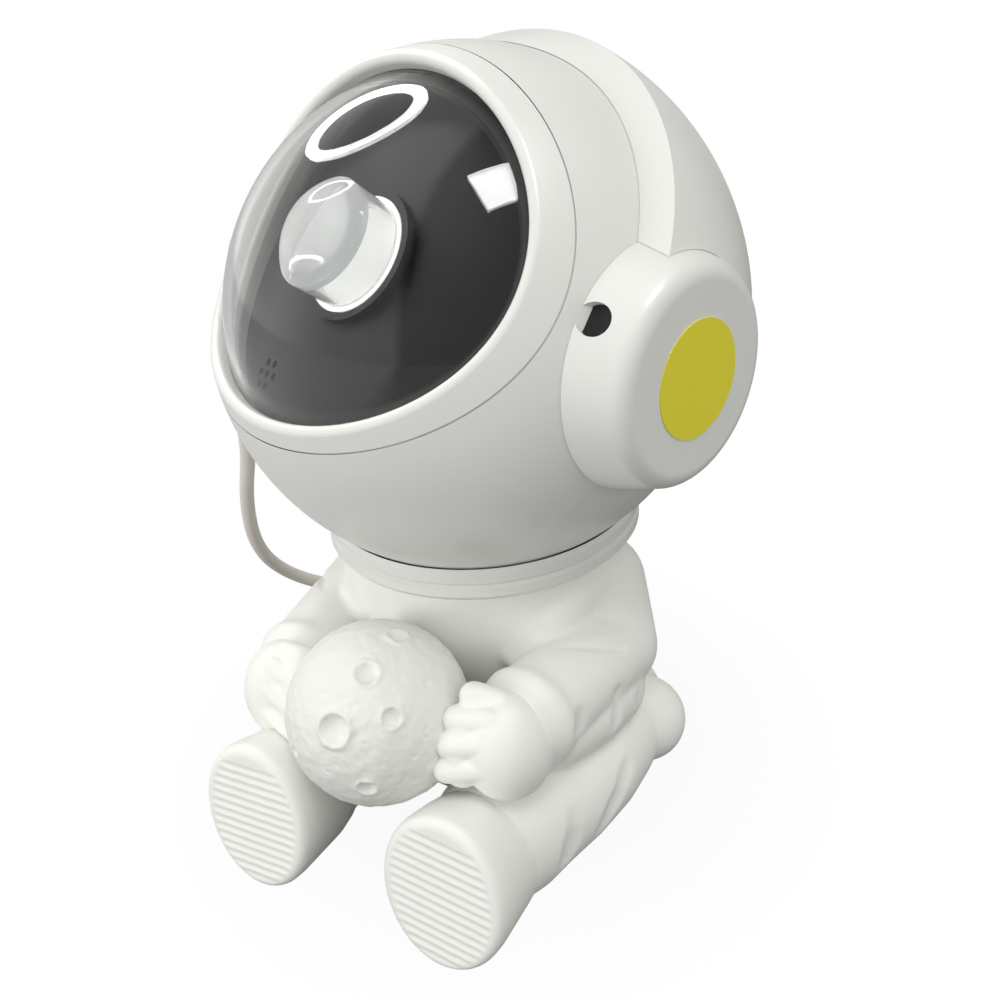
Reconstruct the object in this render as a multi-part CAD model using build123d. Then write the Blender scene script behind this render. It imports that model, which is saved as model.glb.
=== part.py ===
from build123d import *
import os
from math import atan2, cos, pi, radians, sin, sqrt, tan

os.makedirs("parts", exist_ok=True)

# Seated astronaut planetarium projector. Millimetres and degrees.
# Origin: on the table, under the neck axis. The figure faces -Y, its left hand is +X, +Z is up.
# Helmet pieces are drawn in the helmet's own frame: its centre at the origin, the visor facing -Y,
# the ear axis along X, the crown along +Z. "Forward" below means along -Y of that frame.

# ---------------------------------------------------------------- general fits
PLAY = 0.3            # between pieces that move on each other
SEAT_GAP = 0.1        # between pieces that are fastened together
SHAFT_FIT = 0.05      # radial clearance of a running shaft

# ---------------------------------------------------------------- helmet
HEAD_Z = 124.8        # height of the helmet's centre
HEAD_PAN = -17.4      # how far the head is turned at rest
HEAD_NOD = 39.0       # how far the visor is raised at rest
SHELL_R = 60.0        # outer radius of the helmet ball
SHELL_WALL = 2.0
SHELL_SPLIT = -16.0   # the seam of front and rear shell, measured forward of the centre
LIP_WALL = 1.6        # the rear shell's inner lip that centres the front shell
LIP_LONG = 4.0
LEDGE_AT = 5.0        # ledge inside the front shell that carries the optics chassis
LEDGE_THICK = 3.0
LEDGE_WIDE = 7.0

# Visor: an oval bezel in the ball, around a clear dome
GROOVE_W = 52.5       # half width of the bezel
GROOVE_H = 44.3       # half height of the bezel
GROOVE_DROP = -0.8    # its centre below the ear axis
OPEN_W = 46.0         # half width of the window
OPEN_H = 38.7
OPEN_DROP = -1.4
BEZEL_WALL = 3.8
BEZEL_EDGE = 0.6      # rounding of the bezel's outer edge
LIP_ROUND = 1.5       # rounding of the window's edge
FLANGE = 2.4          # bezel flange behind the shell, and dome flange behind the bezel
DOME_WALL = 1.8

# Raised hood over the crown, from ear to ear
HOOD_R = 65.5
HOOD_WALL = 2.0
HOOD_FRONT = 17.0     # where the slope meets the hood
HOOD_SLOPE_END = 29.1  # where the slope's inner oval lies
HOOD_OVAL_W = 21.3
HOOD_OVAL_H = 52.0
HOOD_END = 140.0      # rear edge, degrees from the visor axis over the crown

# Ear cups
CUP_FACE = 66.4       # outer face from the centre plane
CUP_FACE_R = 22.1
CUP_ROOT = 54.1       # where the flank meets the front of the ball
CUP_ROOT_R = 26.0
CUP_WALL = 2.2
CUP_EDGE = 4.0
CUP_DEEP = 6.0        # how far the raw flank is drawn below CUP_ROOT before the ball trims it
HOLE_R = 3.3          # hole in the front of each cup
HOLE_OUT = 57.0       # from the centre plane
NOTICE_R = 12.1       # round blank label on the left cup
NOTICE_THICK = 0.2

# Inner mask, black, behind the dome
MASK_AT = 35.0        # front of the mask at the optical axis
MASK_SAG = 8.0        # how far its two sides fall back
MASK_THICK = 1.6
MASK_HOLE_AT = (-15.5, -31.5)
MASK_HOLE_R = 0.9
MASK_HOLE_PITCH = 3.0
MASK_HOLES = 6        # in a ring round one more

# Optics, on the chassis
OPTIC_DROP = -1.5     # optical axis below the ear axis
CHASSIS_R = 55.0
CHASSIS_THICK = 2.5
BARREL_R = 14.8
BARREL_BORE = 13.2
BARREL_REAR = 20.5
BARREL_FRONT = 36.6
LENS_R = 12.0
LENS_SKIRT = 1.2      # the lens stands on the reflector's rim by a clear skirt
LENS_EDGE = 2.0
LENS_RISE = 5.2       # height of the lens bulge
LENS_SEAT = 44.2      # rear face of the projection lens
REFLECTOR_R = 13.0
REFLECTOR_WALL = 1.0
REFLECTOR_THROAT = 6.5
REFLECTOR_REAR = 22.0
CONDENSER_R = 6.2
CONDENSER_THICK = 4.0
LED_BOARD = 18.0
LED_BOARD_THICK = 1.6
LED_SIZE = 3.4
LED_TALL = 1.2
LED_PITCH = 4.6
LED_TO_LENS = 1.5
SINK_BASE = 3.0
SINK_FIN_TALL = 9.0
SINK_FIN = 1.4
SINK_FINS = 5
RIPPLE_R = 24.0
RIPPLE_THICK = 1.6
RIPPLE_AT = 12.4
RIPPLE_OFF = 18.0     # its shaft from the optical axis
RIPPLES = 14          # shallow radial waves pressed into the disc
NEBULA_MOTOR_R = 7.5
NEBULA_MOTOR_LONG = 14.0
MOTOR_SHAFT_R = 1.0
LASER_X = -24.0
LASER_R = 4.0
LASER_FRONT = 16.0
LASER_LONG = 20.0
GRATING_R = 15.5
GRATING_THICK = 1.2
GRATING_AT = 17.6
GRATING_OFF = 12.0    # its shaft above the laser axis
STAR_MOTOR_R = 5.0
STAR_MOTOR_LONG = 9.0
HUB_R = 2.6
HUB_LONG = 2.4

# Boards
POST_X = 24.0
POST_UP = 18.0
POST_R = 2.5
MAIN_BOARD_W = 56.0
MAIN_BOARD_H = 44.0
MAIN_BOARD_AT = -24.0
BOARD_THICK = 1.6
SCREW_R = 1.25
SCREW_HEAD_R = 2.4
SCREW_HEAD = 1.4
BOSS_R = 3.2

# Buttons in the back of the helmet
BUTTON_ANGLE = 161.0  # degrees from the visor axis over the crown
BUTTON_W = 8.5
BUTTON_H = 5.0
BUTTON_PITCH = 12.0
BUTTON_PROUD = 0.6
BUTTON_PLAY = 0.25
BUTTON_TRAVEL = 0.8
BUTTON_FLANGE = 1.0
BUTTON_FOOT = 51.2    # inner end of a cap, from the centre
SWITCH_TALL = 2.0
SWITCH_SIZE = 4.5
BUTTON_BOARD_W = 48.0
BUTTON_BOARD_H = 12.0
IR_R = 2.5
IR_X = 22.0

# Seat of the head on the neck
PLATE_W = 30.0        # steel plate inside the helmet's bottom, as long as the head nods
PLATE_L = 72.0
PLATE_THICK = 1.2
PAD_WALL = 1.5        # the rear shell is this much thicker over the plate
COLLAR_R = 40.3
COLLAR_BOTTOM = 70.9
COLLAR_TOP = 79.3
COLLAR_GAP = 0.4      # between the collar's lip and the helmet
SKIRT_R = 33.6
SKIRT_WALL = 2.4
FLOOR_Z = 60.0
FLOOR_THICK = 2.6
SWIVEL_R = 18.0
SWIVEL_FLANGE = 3.0
SWIVEL_FLANGE_THICK = 2.2
MAGNET_R = 10.0
MAGNET_THICK = 5.0
RETAINER_R = 30.0
RETAINER_BORE = 13.0
RETAINER_THICK = 2.5
RETAINER_SCREWS = 3
RETAINER_SCREW_CIRCLE = 26.0

# ---------------------------------------------------------------- figure
BODY_WALL = 2.2
BODY_SPLIT_Y = 6.0
BODY_TOP = 70.6
BODY_BOTTOM = 1.2
CHEST_R = 38.5        # half width under the collar
FOOT_IN = 2.5         # how far the bottom edge is drawn in
WAIST_R = 40.5        # half width at mid height
HIP_R = 43.0          # half width near the bottom
BELLY = 35.4          # half depth at mid height
BACK_SHIFT = 2.8      # the trunk's centre behind the neck axis

SHOULDER = (30.0, 3.0, 56.0)
ELBOW = (37.5, -5.0, 43.5)
WRIST = (32.5, -44.0, 47.0)
SHOULDER_R = 13.0
ELBOW_R = 12.0
WRIST_R = 11.6
CUFF_R = 12.6
CUFF_LONG = 4.0
SLEEVE_WALL = 2.0
PALM_ROOT = (32.5, -41.0, 47.0)
PALM = (31.5, -49.5, 46.0)
PALM_ROOT_R = 8.5
PALM_R = 10.6
FINGER_R = 3.5
RIGHT_DROP = 5.0      # the right hand holds the moon lower than the left
# Knuckle and tip of each finger, from the top one down
FINGERS = (((29.5, -46.5, 58.0), (24.6, -50.5, 57.8)),
           ((31.0, -52.5, 54.0), (25.6, -57.0, 55.2)),
           ((31.0, -55.5, 48.0), (25.9, -60.5, 50.2)),
           ((30.0, -56.5, 41.5), (25.4, -61.5, 44.0)))

# Trouser leg: distance forward, centre across, centre height, half width, half height, corner radius
LEG_RINGS = ((-20.0, 31.0, 11.4, 11.0, 11.0, 9.5),
             (-2.0, 33.8, 14.6, 15.8, 14.2, 12.5),
             (22.0, 33.2, 16.8, 17.6, 16.4, 13.5),
             (42.0, 29.8, 16.8, 16.0, 16.4, 13.0),
             (58.0, 27.2, 17.2, 14.0, 16.8, 12.5))
LEG_WALL = 2.2

BOOT_X = 26.6
SOLE_Y = -75.6
SOLE_Z = 20.2
SOLE_W = 15.6         # half width
SOLE_H = 19.9         # half height
SOLE_LEAN = 10.3      # the sole leans back at its top
BOOT_LONG = 21.5
BOOT_REAR_W = 15.0
BOOT_REAR_H = 17.6
BOOT_EDGE = 3.0
RIBS = 13
RIB_DEEP = 0.5

MOON_R = 21.4
MOON_Y = -54.4
MOON_Z = 47.0
MOON_WALL = 2.0
# Craters: compass bearing and height on the ball, as seen from in front, and radius
CRATERS = ((9, 29, 3.9), (34, 62, 3.0), (49, 34, 2.5), (27, -9, 2.4), (128, 71, 2.7), (-25, 1, 1.4),
           (-39, 36, 1.2), (86, 42, 1.3))
CRATER_DEEP = 0.9

HIP_LOBE = (43.2, 3.0, 14.6)
HIP_LOBE_R = 11.6

BASE_THICK = 2.4
PAD_W = 32.0          # half width of the non-slip pad
PAD_L = 25.0
PAD_POCKET = 0.6
BALLAST_R = 24.0
BALLAST_THICK = 9.0

# ---------------------------------------------------------------- lead
LEAD_D = 4.4
LEAD_LONG = 1500.0
ELBOW_TUBE_R = 2.6    # moulded elbow in the right cup's hole
ELBOW_BEND_R = 3.0
ELBOW_RISE = 0.4
GROMMET_LONG = 12.0
GROMMET_TIP_R = 2.5
TABLE_GAP = 0.1
LEAD_TABLE = LEAD_D / 2 + TABLE_GAP
COIL_MID_R = 25.0
COIL_WIDE = 4         # turns side by side
COIL_HIGH = 2         # turns on each other
COIL_X = -40.0
COIL_Y = 84.0
COIL_EDGE = 1.8
LEAD_INTO = 9.0       # where a straight lead meets the coil's outside, before its tangent point
# The lead's way down to the table: where the elbow points, then the points of the route
ROUTE_AIM = (-67.6, -7.2, 124.8)
ROUTE_FIRST = 17.0    # length of the lead's first run, straight on from its sleeve
ROUTE = ((-78.0, -1.5, 80.0), (-87.5, 1.0, 57.5), (-95.0, 8.0, 34.5),
         (-97.0, 20.0, 17.0), (-88.0, 32.0, 6.0), (-73.0, 44.5, LEAD_TABLE))
ROUTE_ON_HEAD = 2     # points of the route above the middle of the loop
ROUTE_ON_NECK = 6     # points above the table
TAIL_RUN = 22.0
PLUG_BODY_W = 15.0
PLUG_BODY_H = 8.0
PLUG_BODY_L = 26.0
PLUG_SHELL_W = 12.0
PLUG_SHELL_H = 4.5
PLUG_SHELL_L = 19.0
PLUG_SHELL_WALL = 0.4
PLUG_NECK = 6.0

# ---------------------------------------------------------------- worked-out sizes
HEAD = Pos(0, 0, HEAD_Z) * Rot(0, 0, HEAD_PAN) * Rot(-HEAD_NOD, 0, 0)
SHELL_IN = SHELL_R - SHELL_WALL
BEZEL_IN = SHELL_R - BEZEL_WALL
DOME_R = BEZEL_IN - SEAT_GAP
DOME_IN = DOME_R - DOME_WALL
CHASSIS_AT = LEDGE_AT + LEDGE_THICK + SEAT_GAP
CHASSIS_FRONT = CHASSIS_AT + CHASSIS_THICK
LED_FACE = CHASSIS_AT - LED_TO_LENS
MASK_REAR = MASK_AT - MASK_THICK
COIL_R = COIL_MID_R + LEAD_D * (COIL_WIDE - 1) / 2   # centre line of the outer turn
LED_BOARD_FRONT = LED_FACE - LED_TALL
LED_BOARD_REAR = LED_BOARD_FRONT - LED_BOARD_THICK
CUP_TAPER = (CUP_ROOT_R - CUP_FACE_R) / (CUP_FACE - CUP_ROOT)
BIG = 3 * SHELL_R


# ---------------------------------------------------------------- small helpers
def fwd(at, across=0.0, up=0.0):
    """A drawing plane across the visor axis: x is the ear axis, y is the crown."""
    return Plane(origin=(across, -at, up), x_dir=(1, 0, 0), z_dir=(0, -1, 0))


def rod(radius, rear, front, across=0.0, up=0.0):
    """A round bar along the visor axis, from rear to front."""
    return extrude(fwd(rear, across, up) * Circle(radius), front - rear)


def block(width, height, rear, front, across=0.0, up=0.0):
    """A square bar along the visor axis."""
    return extrude(fwd(rear, across, up) * Rectangle(width, height), front - rear)


def oval(half_w, half_h, drop, rear=10.0, front=80.0):
    """An oval bar along the visor axis."""
    return extrude(fwd(rear, 0, drop) * Ellipse(half_w, half_h), front - rear)


def ball_shell(outer, inner):
    """A hollow ball about the helmet's centre."""
    return Sphere(outer) - Sphere(inner)


def slab(rear, front):
    """All the space between two planes across the visor axis."""
    return block(BIG, BIG, rear, front)


def bar(start, end, start_r, end_r):
    """A round tapered bar between two points."""
    a, b = Vector(*start), Vector(*end)
    frame = Plane(origin=start, z_dir=(b - a).normalized())
    align = (Align.CENTER, Align.CENTER, Align.MIN)
    if abs(start_r - end_r) < 0.001:
        return frame * Cylinder(start_r, (b - a).length, align=align)
    return frame * Cone(start_r, end_r, (b - a).length, align=align)


def limb(points, radii):
    """Balls at the points, with tapered bars between them."""
    shape = Pos(*points[0]) * Sphere(radii[0])
    for i in range(1, len(points)):
        shape += bar(points[i - 1], points[i], radii[i - 1], radii[i])
        shape += Pos(*points[i]) * Sphere(radii[i])
    return shape


def flip(shape):
    """The same piece on the figure's other side."""
    return mirror(shape, about=Plane.YZ)


def screw(length):
    """A pan-head screw, its head's underside at the origin and its shank along -Z."""
    shank = Pos(0, 0, -length) * Cylinder(SCREW_R, length, align=(Align.CENTER, Align.CENTER, Align.MIN))
    cap = Cylinder(SCREW_HEAD_R, SCREW_HEAD, align=(Align.CENTER, Align.CENTER, Align.MIN))
    return shank + cap


# ---------------------------------------------------------------- helmet shells
def front_shell():
    """The ball from the seam to the bezel, with a ledge inside for the chassis."""
    shape = ball_shell(SHELL_R, SHELL_IN) & slab(SHELL_SPLIT, BIG)
    ledge = (Sphere(SHELL_IN + SHELL_WALL / 2) & slab(LEDGE_AT, LEDGE_AT + LEDGE_THICK))
    ledge -= rod(SHELL_IN - LEDGE_WIDE, LEDGE_AT - 1, LEDGE_AT + LEDGE_THICK + 1)
    shape += ledge
    shape -= oval(GROOVE_W + SEAT_GAP, GROOVE_H + SEAT_GAP, GROOVE_DROP)
    for across, up, angle in ledge_spots():
        shape -= rod(SCREW_R + SEAT_GAP, LEDGE_AT - 1, LEDGE_AT + LEDGE_THICK + 1, across, up)
    shape -= cord_passage()
    return shape


def ledge_spots():
    """Where the chassis is screwed to the ledge: four places between the axes."""
    reach = SHELL_IN - LEDGE_WIDE / 2 - 2.0
    return [(reach * cos(radians(a)), reach * sin(radians(a)), a) for a in (45, 135, 225, 315)]


def cord_passage():
    """The hole in the ball under the right ear cup, where the lead comes in."""
    passage = Plane(origin=(-SHELL_IN + 8, 0, 0), z_dir=(-1, 0, 0)) * Cylinder(4.0, 20)
    return passage


def button_frame():
    """Turns +Z to the outward direction at the buttons."""
    return Rot(-(BUTTON_ANGLE - 90), 0, 0)


def pill(grow, low, high, across):
    """An oblong bar, on the button frame."""
    sketch = SlotOverall(BUTTON_W + 2 * grow, BUTTON_H + 2 * grow)
    return button_frame() * Pos(across, 0, low) * extrude(sketch, high - low)


def button_places():
    return [(i - 1) * BUTTON_PITCH for i in range(3)]


BUTTON_BOARD_FACE = BUTTON_FOOT - BUTTON_TRAVEL - PLAY - SWITCH_TALL


def rear_shell():
    """The back of the ball, with a centring lip, button holes and bosses for the button board."""
    shape = ball_shell(SHELL_R, SHELL_IN) & slab(-BIG, SHELL_SPLIT - SEAT_GAP)
    overlap = ball_shell(SHELL_IN + 0.2, SHELL_IN - LIP_WALL) & slab(SHELL_SPLIT - LIP_LONG, SHELL_SPLIT - SEAT_GAP)
    lip = ball_shell(SHELL_IN - SEAT_GAP, SHELL_IN - LIP_WALL) & slab(SHELL_SPLIT - LIP_LONG, SHELL_SPLIT + LIP_LONG)
    pad = Rot(HEAD_NOD, 0, 0) * Pos(0, 0, -SHELL_R) * Box(PLATE_W, PLATE_L, SHELL_R)
    pad &= ball_shell(SHELL_IN + SHELL_WALL / 2, SHELL_IN - PAD_WALL) & slab(-BIG, SHELL_SPLIT - SEAT_GAP)
    shape = shape + pad + overlap + lip
    for across in button_board_posts():
        post = button_frame() * Pos(across, 0, BUTTON_BOARD_FACE)
        post *= Cylinder(POST_R, SHELL_R, align=(Align.CENTER, Align.CENTER, Align.MIN))
        shape += post & Sphere(SHELL_R - SHELL_WALL / 2)
    for across in button_places():
        shape -= pill(BUTTON_PLAY, BUTTON_FOOT, BIG, across)
    window = button_frame() * Pos(IR_X, -7.0, BUTTON_FOOT) * Cylinder(IR_R + SEAT_GAP, 40)
    return shape - window


def button_board_posts():
    reach = BUTTON_BOARD_W / 2 - POST_R
    return (-reach, reach)


def hood():
    """The raised hood: a shell over the crown with a sloped front, cut round the ear cups."""
    edge_r = sqrt(HOOD_R ** 2 - HOOD_FRONT ** 2)
    dome = Sphere(HOOD_R) & slab(-BIG, HOOD_FRONT)
    slope = loft([fwd(HOOD_FRONT) * Circle(edge_r), fwd(HOOD_SLOPE_END) * Ellipse(HOOD_OVAL_W, HOOD_OVAL_H)],
                 ruled=True)
    above = Rot(180 - HOOD_END, 0, 0) * Pos(0, 0, BIG / 2) * Box(2 * BIG, 2 * BIG, BIG)
    hollow = ball_shell(HOOD_R - HOOD_WALL, SHELL_R - 1) & slab(-BIG, HOOD_FRONT - HOOD_WALL)
    hollow &= Rot(180 - HOOD_END, 0, 0) * Pos(0, 0, BIG / 2 + HOOD_WALL) * Box(2 * BIG, 2 * BIG, BIG)
    shape = (dome + slope) & above
    shape = shape - Sphere(SHELL_R + SEAT_GAP) - hollow
    for side in (1, -1):
        shape -= cup_flank(side, SEAT_GAP)
    return shape


# ---------------------------------------------------------------- visor
def bezel():
    """The oval ring in the ball, with a flange behind the shell."""
    ring = ball_shell(SHELL_R, BEZEL_IN) & oval(GROOVE_W - SEAT_GAP, GROOVE_H - SEAT_GAP, GROOVE_DROP)
    flange = ball_shell(SHELL_IN - SEAT_GAP, BEZEL_IN) & oval(GROOVE_W + FLANGE, GROOVE_H + FLANGE, GROOVE_DROP)
    ring += flange
    ring -= oval(OPEN_W, OPEN_H, OPEN_DROP)
    rim = [e for e in ring.edges() if abs(Vector(e.center(CenterOf.BOUNDING_BOX)).X) < 1 and on_ball(e, SHELL_R)]
    sizes = sorted(rim, key=lambda e: e.length)
    ring = fillet(sizes[0], LIP_ROUND)
    return ring


def on_ball(edge, radius):
    """True where an edge lies on a ball about the centre."""
    return abs((edge @ 0.1).length - radius) < 0.05 and abs((edge @ 0.6).length - radius) < 0.05


def dome():
    """The clear dome behind the bezel, with a flange under it."""
    return ball_shell(DOME_R, DOME_IN) & oval(OPEN_W + FLANGE, OPEN_H + FLANGE, OPEN_DROP)


def mask():
    """The black plate behind the dome: bowed along the ear axis, pierced for lens, laser and vents."""
    half_w, half_h = OPEN_W + 0.4, OPEN_H + 0.4
    bow_r = (half_w ** 2 + MASK_SAG ** 2) / (2 * MASK_SAG)
    middle = (0, -(MASK_AT - bow_r))
    outer = Pos(middle[0], middle[1], 0) * Cylinder(bow_r, BIG)
    inner = Pos(middle[0], middle[1], 0) * Cylinder(bow_r - MASK_THICK, BIG)
    shape = (outer - inner) & oval(half_w, half_h, OPEN_DROP)
    shape -= rod(BARREL_R + SEAT_GAP, 20, 60, 0, OPTIC_DROP)
    shape -= rod(LASER_R, 10, 60, LASER_X, OPTIC_DROP)
    x, up = MASK_HOLE_AT
    shape -= rod(MASK_HOLE_R, 20, 60, x, up)
    for i in range(MASK_HOLES):
        a = 2 * pi * i / MASK_HOLES
        shape -= rod(MASK_HOLE_R, 20, 60, x + MASK_HOLE_PITCH * cos(a), up + MASK_HOLE_PITCH * sin(a))
    return shape


# ---------------------------------------------------------------- ear cups
def cup_radius(at):
    """Radius of the cup's flank at a distance from the centre plane."""
    return CUP_FACE_R + (CUP_FACE - at) * CUP_TAPER


def cup_flank(side, grow):
    """The cup's outer form, without its rounded edge."""
    low = CUP_ROOT - CUP_DEEP
    cone = Cone(cup_radius(low) + grow, CUP_FACE_R + grow, CUP_FACE - low,
                align=(Align.CENTER, Align.CENTER, Align.MIN))
    shape = Rot(0, 90, 0) * Pos(0, 0, low) * cone
    return shape if side > 0 else flip(shape)


def ear_cup():
    """The left ear cup: a tapered cap on the ball, with a hole in the front of its flank."""
    low = CUP_ROOT - CUP_DEEP
    body = Cone(cup_radius(low), CUP_FACE_R, CUP_FACE - low, align=(Align.CENTER, Align.CENTER, Align.MIN))
    body = fillet(body.edges().sort_by(Axis.Z)[-1], CUP_EDGE)
    inside = Cone(cup_radius(low - 5) - CUP_WALL, cup_radius(CUP_FACE - CUP_WALL) - CUP_WALL,
                  CUP_FACE - CUP_WALL - low + 5, align=(Align.CENTER, Align.CENTER, Align.MIN))
    body -= Pos(0, 0, -5) * inside
    body = Rot(0, 90, 0) * Pos(0, 0, low) * body
    body -= Sphere(SHELL_R + SEAT_GAP)
    return body - rod(HOLE_R, CUP_FACE_R - 8, CUP_ROOT_R + 8, HOLE_OUT)


def notice():
    """A round blank label on the left cup's face."""
    disc = Cylinder(NOTICE_R, NOTICE_THICK, align=(Align.CENTER, Align.CENTER, Align.MIN))
    return Rot(0, 90, 0) * Pos(0, 0, CUP_FACE) * disc


def in_room(x, y, z):
    """A point of the helmet's frame, in the figure's frame."""
    return (HEAD * Pos(x, y, z)).position


def elbow_points():
    """Start, corner, end and tip of the moulded elbow in the right cup's hole."""
    flank = cup_radius(HOLE_OUT)
    start = in_room(-HOLE_OUT, -flank, 0)
    ahead = (in_room(-HOLE_OUT, -flank - 1, 0) - start).normalized()
    aim = Vector(*ROUTE_AIM)
    reach = ELBOW_RISE
    for _ in range(3):
        corner = start + ahead * reach
        down = (aim - corner).normalized()
        half_turn = radians(ahead.get_angle(down)) / 2
        reach = ELBOW_RISE + ELBOW_BEND_R * tan(half_turn)
    end = corner + down * (ELBOW_BEND_R * tan(half_turn) + ELBOW_RISE)
    return start, corner, end, end + down * GROMMET_LONG, ahead, down


def strain_relief():
    """The lead's moulded elbow in the right cup's hole, with a flange inside and a tapered sleeve below."""
    start, corner, end, tip, ahead, down = elbow_points()
    flank = cup_radius(HOLE_OUT)
    neck = flip(rod(HOLE_R - SHAFT_FIT, flank - CUP_WALL - 1.2, flank + ELBOW_RISE, HOLE_OUT))
    flange = flip(rod(HOLE_R + 1.2, flank - CUP_WALL - 2.6, flank - CUP_WALL - 1.0, HOLE_OUT))
    path = FilletPolyline(start - ahead * 0.5, corner, end, radius=[ELBOW_BEND_R])
    bend = sweep(Plane(origin=path @ 0, z_dir=path % 0) * Circle(ELBOW_TUBE_R), path)
    cone = Cone(ELBOW_TUBE_R, GROMMET_TIP_R, GROMMET_LONG, align=(Align.CENTER, Align.CENTER, Align.MIN))
    sleeve = Plane(origin=end, z_dir=down) * cone
    inside = HEAD * ((neck + flange) - flip(ear_cup()) - Sphere(SHELL_R + SEAT_GAP))
    return inside + (bend - HEAD * Sphere(SHELL_R + SEAT_GAP)) + sleeve


# ---------------------------------------------------------------- lead
def radii_of(points):
    """The bend radius at each inner point of a route, as large as its two runs allow."""
    radii = []
    for i in range(1, len(points) - 1):
        before = points[i] - points[i - 1]
        after = points[i + 1] - points[i]
        half_turn = radians(before.get_angle(after)) / 2
        radii.append(0.45 * min(before.length, after.length) / tan(half_turn))
    return radii


def tube(points, radii):
    """A lead along straight runs joined by tangent arcs."""
    path = FilletPolyline(*points, radius=radii)
    shape = sweep(Plane(origin=path @ 0, z_dir=path % 0) * Circle(LEAD_D / 2), path)
    share = shape.volume / (path.length * pi * LEAD_D ** 2 / 4)
    print("lead", round(path.length, 1), "radii", [round(r, 1) for r in radii], "volume share", round(share, 4))
    return shape, path.length


def lead_tubes():
    """The lead from the strain relief to the coil, divided in the middle of two of its runs."""
    into_coil = Vector(COIL_X - LEAD_INTO, COIL_Y - COIL_R, LEAD_TABLE)
    tip, down = elbow_points()[3], elbow_points()[5]
    points = [tip, tip + down * ROUTE_FIRST] + [Vector(*p) for p in ROUTE]
    points += [into_coil - Vector(TAIL_RUN / 2, 0, 0), into_coil]
    radii = radii_of(points)
    tubes = []
    long = 0
    start = [points[0]]
    first = 1
    for last in (ROUTE_ON_HEAD, ROUTE_ON_NECK, len(points) - 2):
        end = points[-1] if last == len(points) - 2 else (points[last] + points[last + 1]) / 2
        shape, length = tube(start + points[first:last + 1] + [end], radii[first - 1:last])
        tubes.append(shape)
        long += length
        start = [end]
        first = last + 1
    return tubes, long


def coil():
    """The rest of the lead, wound up beside the figure: the outline of its turns."""
    wide, high = COIL_WIDE * LEAD_D, COIL_HIGH * LEAD_D
    outline = Plane.XZ * Pos(COIL_MID_R, TABLE_GAP + high / 2) * RectangleRounded(wide, high, COIL_EDGE)
    return Pos(COIL_X, COIL_Y, 0) * revolve(outline, Axis.Z)


def tail_points():
    """From the coil's back to the plug."""
    out = Vector(COIL_X - LEAD_INTO, COIL_Y + COIL_R, LEAD_TABLE)
    second = out + Vector(-TAIL_RUN * 0.8, 0.8, 0.4)
    third = second + Vector(-TAIL_RUN, 3.4, PLUG_BODY_H / 2 - LEAD_D / 2 - 0.4)
    return [out, second, third]


def plug_frame():
    points = tail_points()
    heading = (points[-1] - points[-2]).normalized()
    flat = Vector(heading.X, heading.Y, 0).normalized()
    return Plane(origin=points[-1], x_dir=Vector(0, 0, 1).cross(flat), z_dir=flat)


def plug_overmould():
    """The plug's moulded grip, with its shell's socket and a flexible neck."""
    body = RectangleRounded(PLUG_BODY_W, PLUG_BODY_H, 1.6)
    return plug_frame() * Pos(0, 0, PLUG_NECK) * extrude(body, PLUG_BODY_L) + plug_frame() * Cone(
        LEAD_D / 2 + 0.5, LEAD_D / 2 + 1.5, PLUG_NECK, align=(Align.CENTER, Align.CENTER, Align.MIN))


def plug_shell():
    """The plug's metal shell, with the contact tongue inside."""
    start = PLUG_NECK + PLUG_BODY_L
    outer = extrude(RectangleRounded(PLUG_SHELL_W, PLUG_SHELL_H, 0.5), PLUG_SHELL_L - 7)
    inner = extrude(Rectangle(PLUG_SHELL_W - 2 * PLUG_SHELL_WALL, PLUG_SHELL_H - 2 * PLUG_SHELL_WALL),
                    PLUG_SHELL_L)
    tongue = Pos(0, -PLUG_SHELL_H / 4, 0) * extrude(Rectangle(PLUG_SHELL_W - 1.4, 1.7), PLUG_SHELL_L - 8)
    return plug_frame() * Pos(0, 0, start) * ((outer - Pos(0, 0, 0.6) * inner) + tongue)


# ---------------------------------------------------------------- optics
def turned(points, bulge, rear, up):
    """A turned piece about the visor axis: radius and distance pairs, then a domed front of that height."""
    last_r, last_at = points[-1]
    edges = [Polyline(*points)]
    if bulge:
        ball_r = (last_r ** 2 + bulge ** 2) / (2 * bulge)
        half_angle = atan2(last_r, ball_r - bulge) / 2
        middle = (ball_r * sin(half_angle), last_at + bulge - ball_r + ball_r * cos(half_angle))
        edges.append(ThreePointArc((last_r, last_at), middle, (0, last_at + bulge)))
        edges.append(Line((0, last_at + bulge), points[0]))
    else:
        edges.append(Line(points[-1], points[0]))
    face = make_face(edges)
    solid = revolve(face, Axis.Y)
    return Pos(0, -rear, up) * Rot(0, 0, 180) * solid


def lens():
    """The projection lens: a clear bulge with a thin clear skirt down to the reflector's rim."""
    top = LENS_EDGE
    shape = turned([(0, 0), (LENS_R, 0), (LENS_R, top)], LENS_RISE, LENS_SEAT, OPTIC_DROP)
    foot = BARREL_FRONT + SEAT_GAP
    skirt = rod(LENS_R, foot, LENS_SEAT + 0.5, 0, OPTIC_DROP)
    skirt -= rod(LENS_R - LENS_SKIRT, foot - 1, LENS_SEAT + 1, 0, OPTIC_DROP)
    return shape + skirt


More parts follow.
